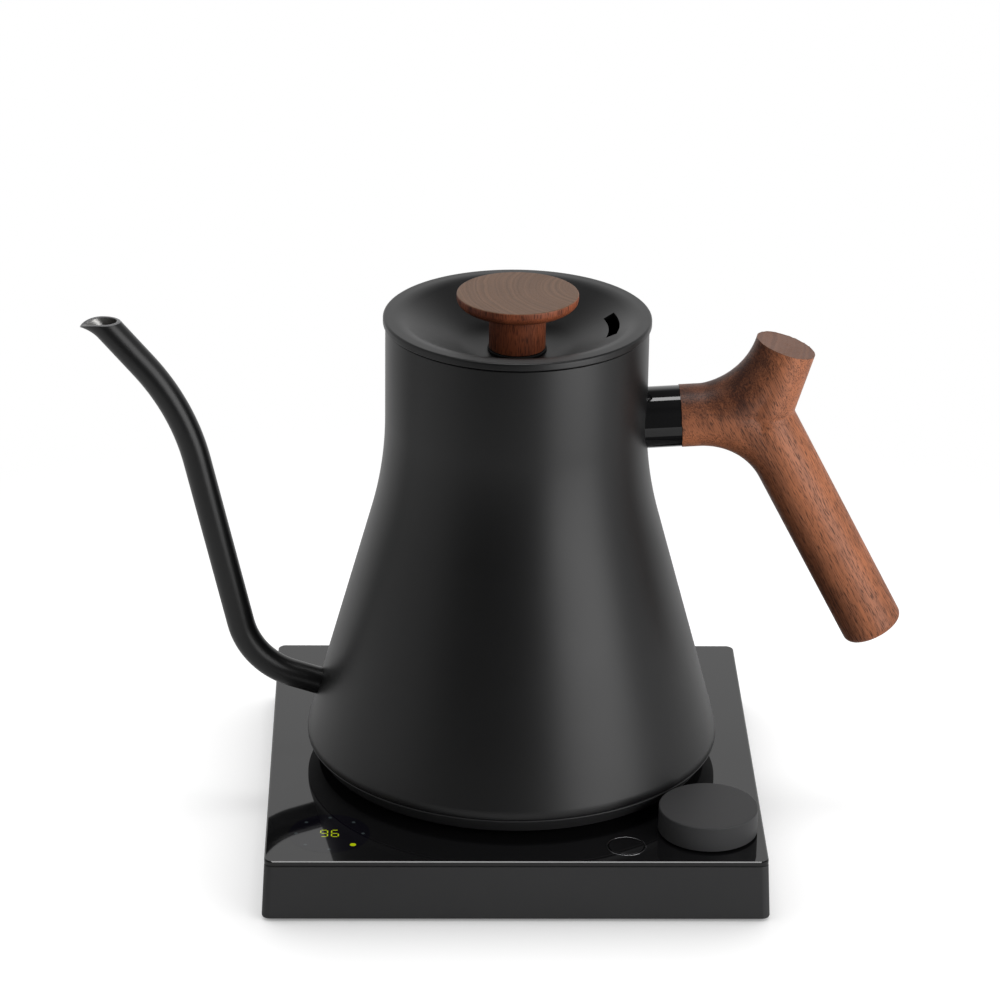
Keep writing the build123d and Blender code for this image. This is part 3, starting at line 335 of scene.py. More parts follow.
case_low, case_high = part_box("base_housing")
panel_low, panel_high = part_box("top_panel")
case = start_box("base_case", case_low, case_high)
round_edges(case, upright, CASE_CORNER, 10)
select(case, "VERT", lambda corner: corner.co.z > case_high.z - NEAR)
taper = panel_high.x / case_high.x
bpy.ops.transform.resize(value=(taper, taper, 1), center_override=(0, 0, case_high.z))
round_edges(case, at_height(case_high.z), CASE_TOP_ROUND, 3)
round_edges(case, at_height(case_low.z), CASE_LOW_ROUND, 4)
select(case, "FACE", at_height(case_high.z))
bpy.ops.mesh.inset(thickness=CASE_LEDGE * MM)
bpy.ops.mesh.delete(type="FACE")
select(case, "FACE", at_height(case_low.z))
bpy.ops.mesh.delete(type="FACE")
modify(case, "SOLIDIFY", thickness=CASE_WALL * MM, offset=-1.0)
finish_piece(case, moulded_abs, "base")
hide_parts("base_housing")

# Top panel: one polished black acrylic plate over the whole base, glued to the case.
# It has a narrow polished chamfer, and is cut out for the power socket, the dial's bush and the button.
PANEL_CORNER = 2.8
CHAMFER_WIDTH = 0.5
CHAMFER_DROP = 0.275
CHAMFER_ROUND = 0.1
PANEL_LOW_ROUND = 0.15
PANEL_SEAM = 0.25
SOCKET_HOLE = 17.8
BUSH_HOLE = 4.6
BUTTON_HOLE = 6.8
HOLE_SIDES = 96
WIPE_WIDTH = 40.0

# Polished acrylic: a clear mirror gloss over deep black, with faint wiping marks in its polish.
polished_acrylic = surface(
    "polished_acrylic", WIPE_WIDTH, ("#151516", "#19191a"), (0.02, 0.06), stretch=(1, 6, 1), detail=4.0,
    fixed={"IOR": 1.49})


def centre(node):
    """Middle of a node's box."""
    low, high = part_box(node)
    return (low + high) / 2


def cut_away(piece, cutter):
    """Cut a shape out of a piece."""
    modify(piece, "BOOLEAN", operation="DIFFERENCE", object=cutter, solver="EXACT")
    bpy.data.objects.remove(cutter)


def drill(piece, x, y, radius):
    """Cut an upright round hole through a piece."""
    clear()
    bpy.ops.mesh.primitive_cylinder_add(
        vertices=HOLE_SIDES, radius=radius * MM, depth=1.0, location=(x, y, 0))
    cut_away(piece, bpy.context.object)


panel_foot = panel_low + metres(0, 0, PANEL_SEAM)
chamfer_foot = panel_high - metres(0, 0, CHAMFER_DROP)
panel = start_box("gloss_panel", panel_foot, chamfer_foot)
round_edges(panel, upright, PANEL_CORNER, 12)
select(panel, "FACE", at_height(chamfer_foot.z))
bpy.ops.mesh.inset(thickness=CHAMFER_WIDTH * MM)
bpy.ops.transform.translate(value=(0, 0, CHAMFER_DROP * MM))
round_edges(panel, at_height(chamfer_foot.z), CHAMFER_ROUND, 2)
round_edges(panel, at_height(panel_foot.z), PANEL_LOW_ROUND, 2)
mode("OBJECT")
dial_centre = centre("dial_knob")
button_centre = centre("button_cap")
drill(panel, 0, 0, SOCKET_HOLE)
drill(panel, dial_centre.x, dial_centre.y, BUSH_HOLE)
drill(panel, button_centre.x, button_centre.y, BUTTON_HOLE)
finish_piece(panel, polished_acrylic, "base", 20.0)
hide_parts("top_panel")

# Display: a small lit module glued under the panel, seen through it as a faint disc.
# Two digits and a ring of eight dots are lit from behind; one dot shows where the setting is.
DISPLAY_RADIUS = 13.8
DISPLAY_SIDES = 96
DISPLAY_EDGE = 0.3
DISPLAY_LIFT = 0.012
LIGHT_LIFT = 0.03
LIGHT_DEPTH = 0.01
DOT_RING = 11.4
DOT_COUNT = 8
DOT_LIT = 7
DOT_RADIUS = 0.6
DOT_LIT_RADIUS = 1.05
DOT_SIDES = 24
DIGITS = "96"
DIGIT_HEIGHT = 4.6
DIGIT_WIDTH = 2.3
DIGIT_PITCH = 3.7
BAR_WIDTH = 0.42
BAR_GAP = 0.07
BAR_CORNER = 0.12


def lit_material(name, code, weakest, strongest, patch):
    """Light from behind black acrylic: as glossy as the panel, and a little uneven."""
    material, tree, shader, place = start_material(name)
    patches = add(tree, "TexNoise", {"Vector": place, "Scale": 1 / (patch * MM)})
    level = add(tree, "MapRange", (patches, 0, 1, weakest, strongest))
    fill(shader, {
        "Emission Strength": level, "Emission Color": linear(code), "Base Color": linear("#060608"),
        "Roughness": 0.04, "IOR": 1.49})
    return material


def start_disc(name, radius, sides, x, y, lift):
    """Thin disc on the panel, in object mode."""
    clear()
    bpy.ops.mesh.primitive_circle_add(
        vertices=sides, radius=radius * MM, fill_type="NGON", location=(x, y, panel_high.z + lift * MM))
    return settle(name)


backlit_window = lit_material("backlit_window", "#9a90c8", 0.003, 0.005, 6.0)
lit_green = lit_material("lit_yellow_green", "#b9c800", 0.67, 0.83, 0.8)
lit_grey = lit_material("lit_dim_grey", "#8fa0a6", 0.07, 0.11, 0.8)
display = centre("display_module")
window = start_disc("display_window", DISPLAY_RADIUS, DISPLAY_SIDES, display.x, display.y, DISPLAY_LIFT)
mode("EDIT")
select_whole()
bpy.ops.mesh.inset(thickness=DISPLAY_EDGE * MM)
modify(window, "SOLIDIFY", thickness=LIGHT_DEPTH * MM, offset=-1.0)
finish_piece(window, backlit_window, "base")

for step in range(DOT_COUNT):
    bearing = 2 * pi * step / DOT_COUNT
    chosen = step == DOT_LIT
    dot = start_disc(
        f"display_dot_{step + 1}", DOT_LIT_RADIUS if chosen else DOT_RADIUS, DOT_SIDES,
        display.x + DOT_RING * MM * cos(bearing), display.y + DOT_RING * MM * sin(bearing), LIGHT_LIFT)
    modify(dot, "SOLIDIFY", thickness=LIGHT_DEPTH * MM, offset=-1.0)
    finish_piece(dot, lit_green if chosen else lit_grey, "base")


def join(pieces):
    """Join pieces into the first of them."""
    clear()
    for piece in pieces:
        piece.select_set(True)
    bpy.context.view_layer.objects.active = pieces[0]
    bpy.ops.object.join()
    return pieces[0]


bar_places = {
    "top": (0, 1), "upper_left": (-1, 0.5), "upper_right": (1, 0.5), "middle": (0, 0),
    "lower_left": (-1, -0.5), "lower_right": (1, -0.5), "bottom": (0, -1)}
unlit_bars = {"9": "lower_left", "6": "upper_right"}
light_low = panel_high.z + (LIGHT_LIFT - LIGHT_DEPTH) * MM
light_high = panel_high.z + LIGHT_LIFT * MM
bars = []
for step, digit in enumerate(DIGITS):
    middle = display.x + (step - (len(DIGITS) - 1) / 2) * DIGIT_PITCH * MM
    for name, (right, up) in bar_places.items():
        if name == unlit_bars[digit]:
            continue
        across = right == 0
        half_x = (DIGIT_WIDTH / 2 - BAR_WIDTH / 2 - BAR_GAP if across else BAR_WIDTH / 2) * MM
        half_y = (BAR_WIDTH / 2 if across else DIGIT_HEIGHT / 4 - BAR_WIDTH / 2 - BAR_GAP) * MM
        x = middle + right * DIGIT_WIDTH / 2 * MM
        y = display.y + up * DIGIT_HEIGHT / 2 * MM
        bar = start_box(f"digit_{name}", Vector((x - half_x, y - half_y, light_low)),
                        Vector((x + half_x, y + half_y, light_high)))
        round_edges(bar, upright, BAR_CORNER, 2)
        mode("OBJECT")
        bars.append(bar)
digits = join(bars)
digits.name = "display_digits"
finish_piece(digits, lit_green, "base")

# Button: a flush round key of the panel's own black acrylic, in a thin polished ring pressed into the panel.
# The key slides in the ring on a flange and is pushed back up by a silicone skirt.
KEY_ROUND = 0.2
KEY_INSET = 0.8
KEY_FLANGE_TOP = 18.1
KEY_FLANGE_LOW = 16.7
KEY_STEM_RADIUS = 1.7
KEY_SIDES = 96
RING_ROUND = 0.1
RING_WIDTH = 0.5
WEAR_SIZE = 1.5


def box_mm(node):
    """Low and high corner of a node's box in millimetres."""
    low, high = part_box(node)
    return low / MM, high / MM


def arc(radius_centre, height_centre, radius, start, end, count):
    """Points of a round stretch of a profile, as (radius, height)."""
    angles = [radians(start + (end - start) * step / count) for step in range(count + 1)]
    return [(radius_centre + radius * cos(a), height_centre + radius * sin(a)) for a in angles]


def rounded(radius, height, rounding, start, end, count=4):
    """Points of a rounded corner of a profile; the sharp corner would be at the radius and height."""
    middle = radians((start + end) / 2)
    centre_radius = radius - copysign(rounding, cos(middle))
    return arc(centre_radius, height - copysign(rounding, sin(middle)), rounding, start, end, count)


def turned(name, profile, sides, middle=Vector()):
    """Piece turned about an upright axis from (radius, height) points in mm, closed if off the axis."""
    clear()
    radius, height = profile[0]
    bpy.ops.mesh.primitive_plane_add(size=MM)
    piece = bpy.context.object
    piece.name = name
    mode("EDIT")
    bpy.ops.mesh.select_mode(type="VERT")
    select_whole()
    bpy.ops.mesh.merge(type="CENTER")
    bpy.ops.transform.translate(value=(middle.x + radius * MM, middle.y, height * MM))
    for next_radius, next_height in profile[1:] + (profile[:1] if radius else []):
        extrude(((next_radius - radius) * MM, 0, (next_height - height) * MM))
        radius, height = next_radius, next_height
    select_whole()
    bpy.ops.mesh.spin(steps=sides, angle=2 * pi, center=(middle.x, middle.y, 0), axis=(0, 0, 1))
    clean()
    return piece


def extrude(step):
    """In edit mode, draw the selection out by a step."""
    bpy.ops.mesh.extrude_region_move(TRANSFORM_OT_translate={"value": step})


def clean():
    """In edit mode, merge doubled corners and turn all faces outwards."""
    select_whole()
    bpy.ops.mesh.remove_doubles(threshold=NEAR / 10)
    bpy.ops.mesh.normals_make_consistent(inside=False)


def metal(name, grain, tones, polish):
    """Plain metal with a fine uneven finish."""
    return surface(name, grain, tones, polish, detail=3.0, fixed={"Metallic": 1.0})


key_low, key_high = box_mm("button_cap")
ring_low, ring_high = box_mm("button_bezel")
flange_radius = (key_high.x - key_low.x) / 2
ring_out = (ring_high.x - ring_low.x) / 2
ring_in = ring_out - RING_WIDTH
key_radius = ring_out - KEY_INSET
key = turned("button_key", [
    (0, key_high.z),
    *rounded(key_radius, key_high.z, KEY_ROUND, 90, 0),
    (key_radius, KEY_FLANGE_TOP), (flange_radius, KEY_FLANGE_TOP),
    (flange_radius, KEY_FLANGE_LOW), (KEY_STEM_RADIUS, KEY_FLANGE_LOW),
    (KEY_STEM_RADIUS, key_low.z), (0, key_low.z)], KEY_SIDES, button_centre)
finish_piece(key, polished_acrylic, "button")
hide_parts("button_cap")

# Polished steel: a bright turned ring that mirrors the dark room, with a little wear in its polish.
polished_steel = metal("polished_steel", WEAR_SIZE, ("#a2a2a4", "#a2a2a4"), (0.16, 0.26))
ring = turned("button_ring", [
    *rounded(ring_in, ring_high.z, RING_ROUND, 180, 90, 3),
    *rounded(ring_out, ring_high.z, RING_ROUND, 90, 0, 3),
    (ring_out, ring_low.z), (ring_in, ring_low.z)], KEY_SIDES, button_centre)
finish_piece(ring, polished_steel, "base")
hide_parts("button_bezel")

# Dial: a low knob turned from aluminium, bead-blasted and anodised black, pressed on the switch's shaft.
# It is hollow below, so that it covers the bush and its nut.
DIAL_ROUND = 0.45
DIAL_LOW_ROUND = 0.25
DIAL_SIDES = 160
DIAL_TALLER = 0.8
DIAL_LOWER = 0.3
POCKET_RADIUS = 9.0
POCKET_DEPTH = 3.4
BLAST_SIZE = 0.22

# Anodised aluminium: an even black with a soft metallic sheen and a very fine blasted grain.
# The grain is drawn at least twice as coarse as the real one, which would not show.
anodised = surface(
    "anodised_aluminium", BLAST_SIZE, ("#3f3f40", "#49494a"), (0.42, 0.56), relief=0.2,
    fixed={"IOR": 1.5, "Specular IOR Level": 0.25})

dial_low, dial_high = box_mm("dial_knob")
dial_radius = (dial_high.x - dial_low.x) / 2
dial_top = dial_high.z + DIAL_TALLER
dial_foot = dial_low.z - DIAL_LOWER
pocket_top = dial_foot + POCKET_DEPTH
dial = turned("dial", [
    (0, dial_top),
    *rounded(dial_radius, dial_top, DIAL_ROUND, 90, 0, 5),
    *rounded(dial_radius, dial_foot, DIAL_LOW_ROUND, 0, -90, 3),
    (POCKET_RADIUS, dial_foot), (POCKET_RADIUS, pocket_top), (0, pocket_top)], DIAL_SIDES, dial_centre)
finish_piece(dial, anodised, "dial")
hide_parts("dial_knob")

# Kettle body: a thin stainless shell, spun to a cone with a straight neck, powder-coated black outside.
# Its inner wall is left bare and brushed, and a hole near the foot opens into the spout.
BODY_SIDES = 192
NECK_RADIUS = 44.9
WIDEST_LIFT = 0.8
CONE_ANGLE = 15.5
FLARE_RADIUS = 134.0
BULGE_RADIUS = 8.5
RIM_ROUND = 0.4
WALL = 0.8
CONE_ROWS = 12
COAT_GRAIN = 0.45
COAT_PATCH = 25.0
BRUSH_WIDTH = 0.4
TUBE_RADIUS = 4.8
TUBE_WALL = 1.0
TUBE_SIDES = 64
ROOT_HEIGHT = 48.6
ROOT_SLOPE = 17.8
BORE_REACH = 12.0


def satin_black(name, grain, tones, polish):
    """Satin black skin: a faint texture like orange peel blurs every reflection."""
    return surface(name, grain, tones, polish, polish_patch=COAT_PATCH, roughness=0.55, relief=0.12,
                   fixed={"IOR": 1.5})


powder_coat = satin_black("powder_coat", COAT_GRAIN, ("#0c0c0d", "#111112"), (0.36, 0.42))

# Brushed stainless steel: fine rings run round the wall, so highlights stretch up and down.
# The rings are drawn several times as wide as the real ones, which would not show.
brushed_steel = surface(
    "brushed_stainless_steel", BRUSH_WIDTH, ("#a9a8a6", "#c9c8c6"), (0.24, 0.4), stretch=(0.04, 0.04, 1),
    detail=3.0, relief=0.1, fixed={"Metallic": 1.0})

shell_low, shell_high = box_mm("kettle_shell")
foot_height = shell_low.z
rim_height = shell_high.z
widest_radius = shell_high.x
widest_height = foot_height + WIDEST_LIFT
cone = radians(CONE_ANGLE)


def body_profile(inset, low, high):
    """Outline of the body from foot to rim, set in from the outer surface."""
    bulge = BULGE_RADIUS - inset
    flare = FLARE_RADIUS + inset
    bulge_centre = widest_radius - BULGE_RADIUS
    flare_centre = NECK_RADIUS + FLARE_RADIUS
    cone_foot = (bulge_centre + bulge * cos(cone), widest_height + bulge * sin(cone))
    cone_end = flare_centre - flare * cos(cone)
    cone_top = cone_foot[1] + (cone_foot[0] - cone_end) / tan(cone)
    neck = cone_top + flare * sin(cone)
    start = degrees(asin((low - widest_height) / bulge))
    points = arc(bulge_centre, widest_height, bulge, start, CONE_ANGLE, 10)
    for row in range(1, CONE_ROWS):
        share = row / CONE_ROWS
        points.append((cone_foot[0] + (cone_end - cone_foot[0]) * share,
                       cone_foot[1] + (cone_top - cone_foot[1]) * share))
    points += arc(flare_centre, neck, flare, 180 + CONE_ANGLE, 180, 16)
    return points + [(NECK_RADIUS - inset, high)]


def body_radius(height):
    """Outer radius of the body's cone at a height."""
    cone_foot = widest_radius - BULGE_RADIUS * (1 - cos(cone))
    cone_low = widest_height + BULGE_RADIUS * sin(cone)
    return cone_foot - (height - cone_low) * tan(cone)


outside = body_profile(0, foot_height, rim_height - RIM_ROUND)
rim_bend = rounded(NECK_RADIUS, rim_height, RIM_ROUND, 0, 180, 8)[1:]
inside = body_profile(WALL, foot_height, rim_height - RIM_ROUND)
body = turned("kettle_body", outside + rim_bend + inside[-2::-1], BODY_SIDES)
body.data.materials.append(powder_coat)
body.data.materials.append(brushed_steel)
mode("OBJECT")
root_radius = body_radius(ROOT_HEIGHT)
root_axis = Vector((-cos(radians(ROOT_SLOPE)), 0, sin(radians(ROOT_SLOPE))))
clear()
bpy.ops.mesh.primitive_cylinder_add(
    vertices=TUBE_SIDES, radius=(TUBE_RADIUS - TUBE_WALL / 2) * MM, depth=2 * BORE_REACH * MM,
    location=metres(-root_radius, 0, ROOT_HEIGHT), rotation=root_axis.to_track_quat("Z", "Y").to_euler())
cut_away(body, bpy.context.object)
for face in body.data.polygons:
    outwards = face.normal.x * face.center.x + face.normal.y * face.center.y
    face.material_index = 1 if outwards < 0 else 0
finish_piece(body, powder_coat, "kettle", 40.0)
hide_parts("kettle_shell")

# Spout: a thin stainless tube bent to a gooseneck, welded into the body and powder-coated with it.
# Its mouth is cut level, and its front is drawn out and down to a short beak that throws the water forward.
# The mouth's rounded edge is drawn in a lighter grey.
BURIED = 1.2
CORNER_REACH = 91.8
RISE_LEAN = 13.05
LOW_BEND = 27.0
KNEE_HEIGHT = 152.1
UPPER_LEAN = 40.45
KNEE_BEND = 82.8
UPPER_RUN = 41.44
UPPER_SPARE = 10.0
BEND_ROWS = 24
BEAK_PULL = -1.18
BEAK_DROOP = -1.9
BEAK_REACH = 7.5
BEAK_ROWS = 12
BEAK_FRONT = 0.1
LIP_ROUND = 0.3
TUBE_GRAIN = 0.4


def bent_bar(name, radius, sides, corners, bends):
    """Round bar in the plane of the handle and spout, along straight runs and round bends."""
    points = [Vector((x, 0, z)) for x, z in corners]
    ahead = (points[1] - points[0]).normalized()
    clear()
    bpy.ops.mesh.primitive_circle_add(
        vertices=sides, radius=radius * MM, location=points[0] * MM,
        rotation=ahead.to_track_quat("Z", "Y").to_euler())
    piece = settle(name)
    mode("EDIT")
    select_whole()
    here = points[0]
    for corner, after, bend in zip(points[1:], points[2:], bends):
        ahead = (corner - here).normalized()
        beyond = (after - corner).normalized()
        turn = ahead.angle(beyond)
        trim = bend * tan(turn / 2)
        run = (corner - ahead * trim) - here
        extrude(run * MM)
        side = (beyond - ahead * ahead.dot(beyond)).normalized()
        middle = corner - ahead * trim + side * bend
        hinge = beyond.cross(ahead).normalized()
        bpy.ops.mesh.spin(steps=BEND_ROWS, angle=turn, center=middle * MM, axis=hinge)
        here = corner + beyond * trim
    run = points[-1] - here
    extrude(run * MM)
    clean()
    return piece


def leaning(start, length, angle, up=1.0):
    """Point at a distance from another along a line that leans outwards from the vertical."""
    lean = radians(angle)
    return (start[0] + length * sin(lean), start[1] + up * length * cos(lean))


def in_plane(point):
    """Point of the plane of the handle and spout, in metres."""
    return metres(point[0], 0, point[1])


slope = tan(radians(ROOT_SLOPE))
low_corner = (-CORNER_REACH, ROOT_HEIGHT + (CORNER_REACH - root_radius) * slope)
buried = (-root_radius + BURIED, ROOT_HEIGHT - BURIED * slope)
knee = (-CORNER_REACH - (KNEE_HEIGHT - low_corner[1]) * tan(radians(RISE_LEAN)), KNEE_HEIGHT)
upper_end = leaning(knee, UPPER_RUN + UPPER_SPARE, -UPPER_LEAN)
spout = bent_bar(
    "spout_tube", TUBE_RADIUS, TUBE_SIDES, [buried, low_corner, knee, upper_end], [LOW_BEND, KNEE_BEND])
tube_coat = satin_black("powder_coat_on_tube", TUBE_GRAIN, ("#0b0b0c", "#0f0f10"), (0.31, 0.37))
grey_lip_coat = satin_black("grey_coat_on_lip", TUBE_GRAIN, ("#787879", "#828283"), (0.3, 0.36))
for material in (tube_coat, brushed_steel, grey_lip_coat):
    spout.data.materials.append(material)
modify(spout, "SOLIDIFY", thickness=TUBE_WALL * MM, offset=-1.0, material_offset=1)
mouth = in_plane(leaning(knee, UPPER_RUN, -UPPER_LEAN))
skyward = Vector((0, 0, 1))
mode("EDIT")
select_whole()
bpy.ops.mesh.bisect(plane_co=mouth, plane_no=skyward, clear_outer=True)
select(spout, "EDGE", lambda edge: edge.is_boundary)
bpy.ops.mesh.bridge_edge_loops()
for row in range(1, BEAK_ROWS):
    select_whole()
    bpy.ops.mesh.bisect(plane_co=mouth - skyward * BEAK_REACH * MM * row / BEAK_ROWS, plane_no=skyward)


def on_cut(point, normal):
    """Test of whether an edge is the sharp outline of a flat cut."""
    return lambda edge: (all(abs((corner.co - point).dot(normal)) < NEAR for corner in edge.verts)
                         and len(edge.link_faces) == 2 and edge.calc_face_angle(0) > radians(25))


round_edges(spout, on_cut(mouth, skyward), LIP_ROUND, 4)
mode("OBJECT")
for face in spout.data.polygons:
    corners = [spout.data.vertices[index].co for index in face.vertices]
    if all(corner.z > mouth.z - LIP_ROUND * MM for corner in corners):
        face.material_index = 2
front = min(corner.co.x for corner in spout.data.vertices)
mode("EDIT")
select(spout, "VERT", lambda corner: corner.co.x < front + BEAK_FRONT * MM)
bpy.ops.transform.translate(
    value=metres(BEAK_PULL, 0, BEAK_DROOP), use_proportional_edit=True,
    proportional_edit_falloff="SHARP", proportional_size=BEAK_REACH * MM)
finish_piece(spout, tube_coat, "kettle", 50.0)
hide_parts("spout")

# Foot ring and underside: one moulded black cover that closes the kettle below, tapered towards the base.
# A low ring under it stands on the panel, and three screws hold it to posts under the heater.
COVER_EDGE = 0.6
COVER_TOP_EDGE = 0.3
COVER_TAPER = 3.7
COVER_WALL = 2.4
COVER_FLOOR = 2.0
COVER_HOLE = 22.3
STAND_IN = 50.0
STAND_OUT = 54.0
COVER_LIFT = 2.8
COVER_GRAIN = 0.3
cover_low, cover_high = box_mm("bottom_cover")
cover_top = cover_high.z
cover_radius = cover_high.x
stand_foot = cover_low.z
cover_foot = stand_foot + COVER_LIFT
cover_floor = cover_foot + COVER_FLOOR
edge_radius = widest_radius - COVER_TAPER
cover = turned("foot_ring", [
    (COVER_HOLE, cover_floor), (COVER_HOLE, cover_foot), (STAND_IN, cover_foot),
    (STAND_IN, stand_foot), (STAND_OUT, stand_foot), (STAND_OUT, cover_foot),
    *rounded(edge_radius, cover_foot, COVER_EDGE, -90, -25),
    *rounded(cover_radius, cover_top, COVER_TOP_EDGE, -25, 90),
    (cover_radius - COVER_WALL, cover_top), (edge_radius - COVER_WALL, cover_floor)], BODY_SIDES)
satin_abs = satin_black("satin_abs", COVER_GRAIN, ("#2c2c2d", "#343435"), (0.42, 0.5))
finish_piece(cover, satin_abs, "kettle")
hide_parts("bottom_cover")

# Collar: a short spacer of polished black phenolic between body and handle, clamped by the handle's bolt.
# It fits the neck's round wall, and its edges are just broken.
COLLAR_RADIUS = 10.55
COLLAR_SIDES = 128
COLLAR_ROUND = 0.25
COLLAR_SPARE = 3.0
COLLAR_SEAT = 44.5
COLLAR_TRIM = 0.6
ARM_RISE = 3.5
ARM_PIVOT = 53.0
collar_low, collar_high = box_mm("handle_collar")
arm_height = (collar_high.z + collar_low.z) / 2
collar_end = collar_high.x - COLLAR_TRIM
arm_slope = tan(radians(ARM_RISE))
arm_axis = Vector((1, 0, arm_slope)).normalized()


def on_arm(x):
    """Point of the arm's axis, which rises a little away from the body."""
    return (x, arm_height + (x - ARM_PIVOT) * arm_slope)


collar_start = NECK_RADIUS - COLLAR_SPARE
clear()
bpy.ops.mesh.primitive_cylinder_add(
    vertices=COLLAR_SIDES, radius=COLLAR_RADIUS * MM, depth=(collar_end - collar_start) / arm_axis.x * MM,
    location=in_plane(on_arm((collar_end + collar_start) / 2)),
    rotation=arm_axis.to_track_quat("Z", "Y").to_euler())
collar = settle("collar")
drill(collar, 0, 0, COLLAR_SEAT)
modify(collar, "BEVEL", width=COLLAR_ROUND * MM, segments=3, limit_method="ANGLE")
finish_piece(collar, polished_acrylic, "kettle")
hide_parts("handle_collar")

# Handle: one piece of walnut, turned and carved to an arm that forks into a long grip and a short thumb rest.
# It is sanded smooth and oiled, and a bolt through the collar holds it.
GRIP_RADIUS = 10.8
GRIP_REACH = 28.25
GRIP_LEAN = 27.8
GRIP_LENGTH = 89.95
GRIP_BEND = 33.0
GRIP_END_ROUND = 1.8
GRIP_END_ROWS = 6
BRANCH_RADIUS = 10.5
BRANCH_REACH = 27.3
BRANCH_LEAN = 17.0
BRANCH_LENGTH = 27.4
BRANCH_BEND = 34.8
CROTCH_ON_GRIP = 4.0
CROTCH_ON_BRANCH = 6.3
HANDLE_SIDES = 64
SPARE = 6.0
CARVED_STEP = 0.5
SANDED_ROUNDS = 10
SHARP_EDGE = 0.12
FIGURE_WIDTH = 7.0
CLOUD_SIZE = 14.0
FIBRE_WIDTH = 0.5
PORE_WIDTH = 0.26
RING_SPACING = 1.2
RING_WANDER = 2.5
GRIP_RINGS_IN = 70.0
GRIP_RINGS_SIDE = 10.0
# Painted shade on the side of the fork that faces the body, away from the right softbox, in mm.
HANDLE_SHADE_IN = 11.0
HANDLE_SHADE_OUT = 4.0
HANDLE_SHADE_RISE = 12.0
# Painted light under the arm near the body, in mm.
UNDER_ARM_LIGHT_OUT = 2.0
UNDER_ARM_LIGHT_IN = 14.0
UNDER_ARM_LIGHT_TOP = 6.0
UNDER_ARM_LIGHT_LOW = -5.0
# Painted shade that deepens further down the grip, in mm.
GRIP_SHADE_FROM = -15.0
GRIP_SHADE_TO = -75.0


# Oiled walnut: warm brown with soft figure, fine fibres and short dark pores, and growth rings on a sawn end,
# with painted shade laid into its tone.
# The fibres are drawn many times as wide as the real ones, which would not show.
def walnut(name, turn, shade_mask, end_axis, end_reach, ring_middle, tones):
    """Oiled walnut whose fibres run along a turned axis, with painted shade and light from a given mask."""
    light, dark, pore_colour, end_light, end_dark = [linear(tone) for tone in tones]
    material, tree, shader, place = start_material(name)
    along = add(tree, "Mapping", {"Vector": place, "Rotation": turn})
    figure, fibre, vessel = [
        add(tree, "TexNoise", {
            "Vector": add(tree, "Mapping", {"Vector": along, "Scale": (1, 1, drawn_out)}),
            "Scale": 1 / (width * MM), "Detail": detail, "Distortion": bent})
        for width, drawn_out, detail, bent in (
            (FIGURE_WIDTH, 0.12, 3.0, 0.8), (FIBRE_WIDTH, 0.04, 2.0, 0.0), (PORE_WIDTH, 0.08, 1.0, 0.0))]
    cloud = add(tree, "TexNoise", {"Vector": along, "Scale": 1 / (CLOUD_SIZE * MM), "Detail": 2.0})
    crowd = add(tree, "MapRange", (figure, 0.3, 0.7, 0.56, 0.51))
    edge = add(tree, "Math", (crowd, 0.1), operation="ADD")
    pores = add(tree, "MapRange", (vessel, crowd, edge))
    shade, streak, patch = [
        add(tree, "MapRange", (source, 0.5 - spread, 0.5 + spread, low, high))
        for source, spread, low, high in (
            (figure, 0.15, 0.0, 0.26), (fibre, 0.2, -0.2, 0.2), (cloud, 0.15, -0.08, 0.08))]
    blend = add(tree, "Math", (shade, streak), operation="ADD")
    # Painted shade: the mask pulls the tone towards the dark tone where the piece faces away from the lamps.
    blend = add(tree, "Math", (blend, shade_mask(tree, place)), operation="ADD")
    blend = add(tree, "Math", (blend, patch), operation="ADD", use_clamp=True)
    wood = add(tree, "Mix", {"Factor": blend, "A": light, "B": dark}, data_type="RGBA")
    share = add(tree, "Math", (pores, 0.72), operation="MULTIPLY")
    side = add(tree, "Mix", {"Factor": share, "A": wood, "B": pore_colour}, data_type="RGBA")
    shifted = add(tree, "Mapping", {
        "Vector": along, "Location": -metres(*ring_middle, 0), "Scale": (1, 1, 0)})
    outwards = add(tree, "VectorMath", (shifted,), operation="LENGTH")
    wander = add(tree, "Math", (cloud, RING_WANDER * MM), operation="MULTIPLY")
    outwards = add(tree, "Math", (outwards, wander), operation="ADD")
    rings = add(tree, "TexNoise", {
        "W": outwards, "Scale": 1 / (RING_SPACING * MM), "Detail": 3.0}, noise_dimensions="1D")
    late = add(tree, "MapRange", (rings, 0.3, 0.7, 0.1, 0.65))
    late = add(tree, "Math", (late, patch), operation="ADD", use_clamp=True)
    # The sawn end's greyer tones are partly the end grain's own tone and partly a painted sheen for the top
    # faces.
    sawn = add(tree, "Mix", {"Factor": late, "A": end_light, "B": end_dark}, data_type="RGBA")
    reach = add(tree, "VectorMath", (place, end_axis), operation="DOT_PRODUCT")
    on_end = add(tree, "MapRange", (reach, (end_reach - 0.3) * MM, (end_reach - 0.1) * MM))
    colour = add(tree, "Mix", {"Factor": on_end, "A": side, "B": sawn}, data_type="RGBA")
    polish = add(tree, "MapRange", (pores, 0, 1, 0.46, 0.64))
    depth = add(tree, "Math", (streak, pores), operation="SUBTRACT")
    bump = add(tree, "Bump", {"Height": depth, "Strength": 0.25, "Distance": 0.03 * MM})
    fill(shader, {"Base Color": colour, "Roughness": polish, "Normal": bump, "IOR": 1.48})
    return material


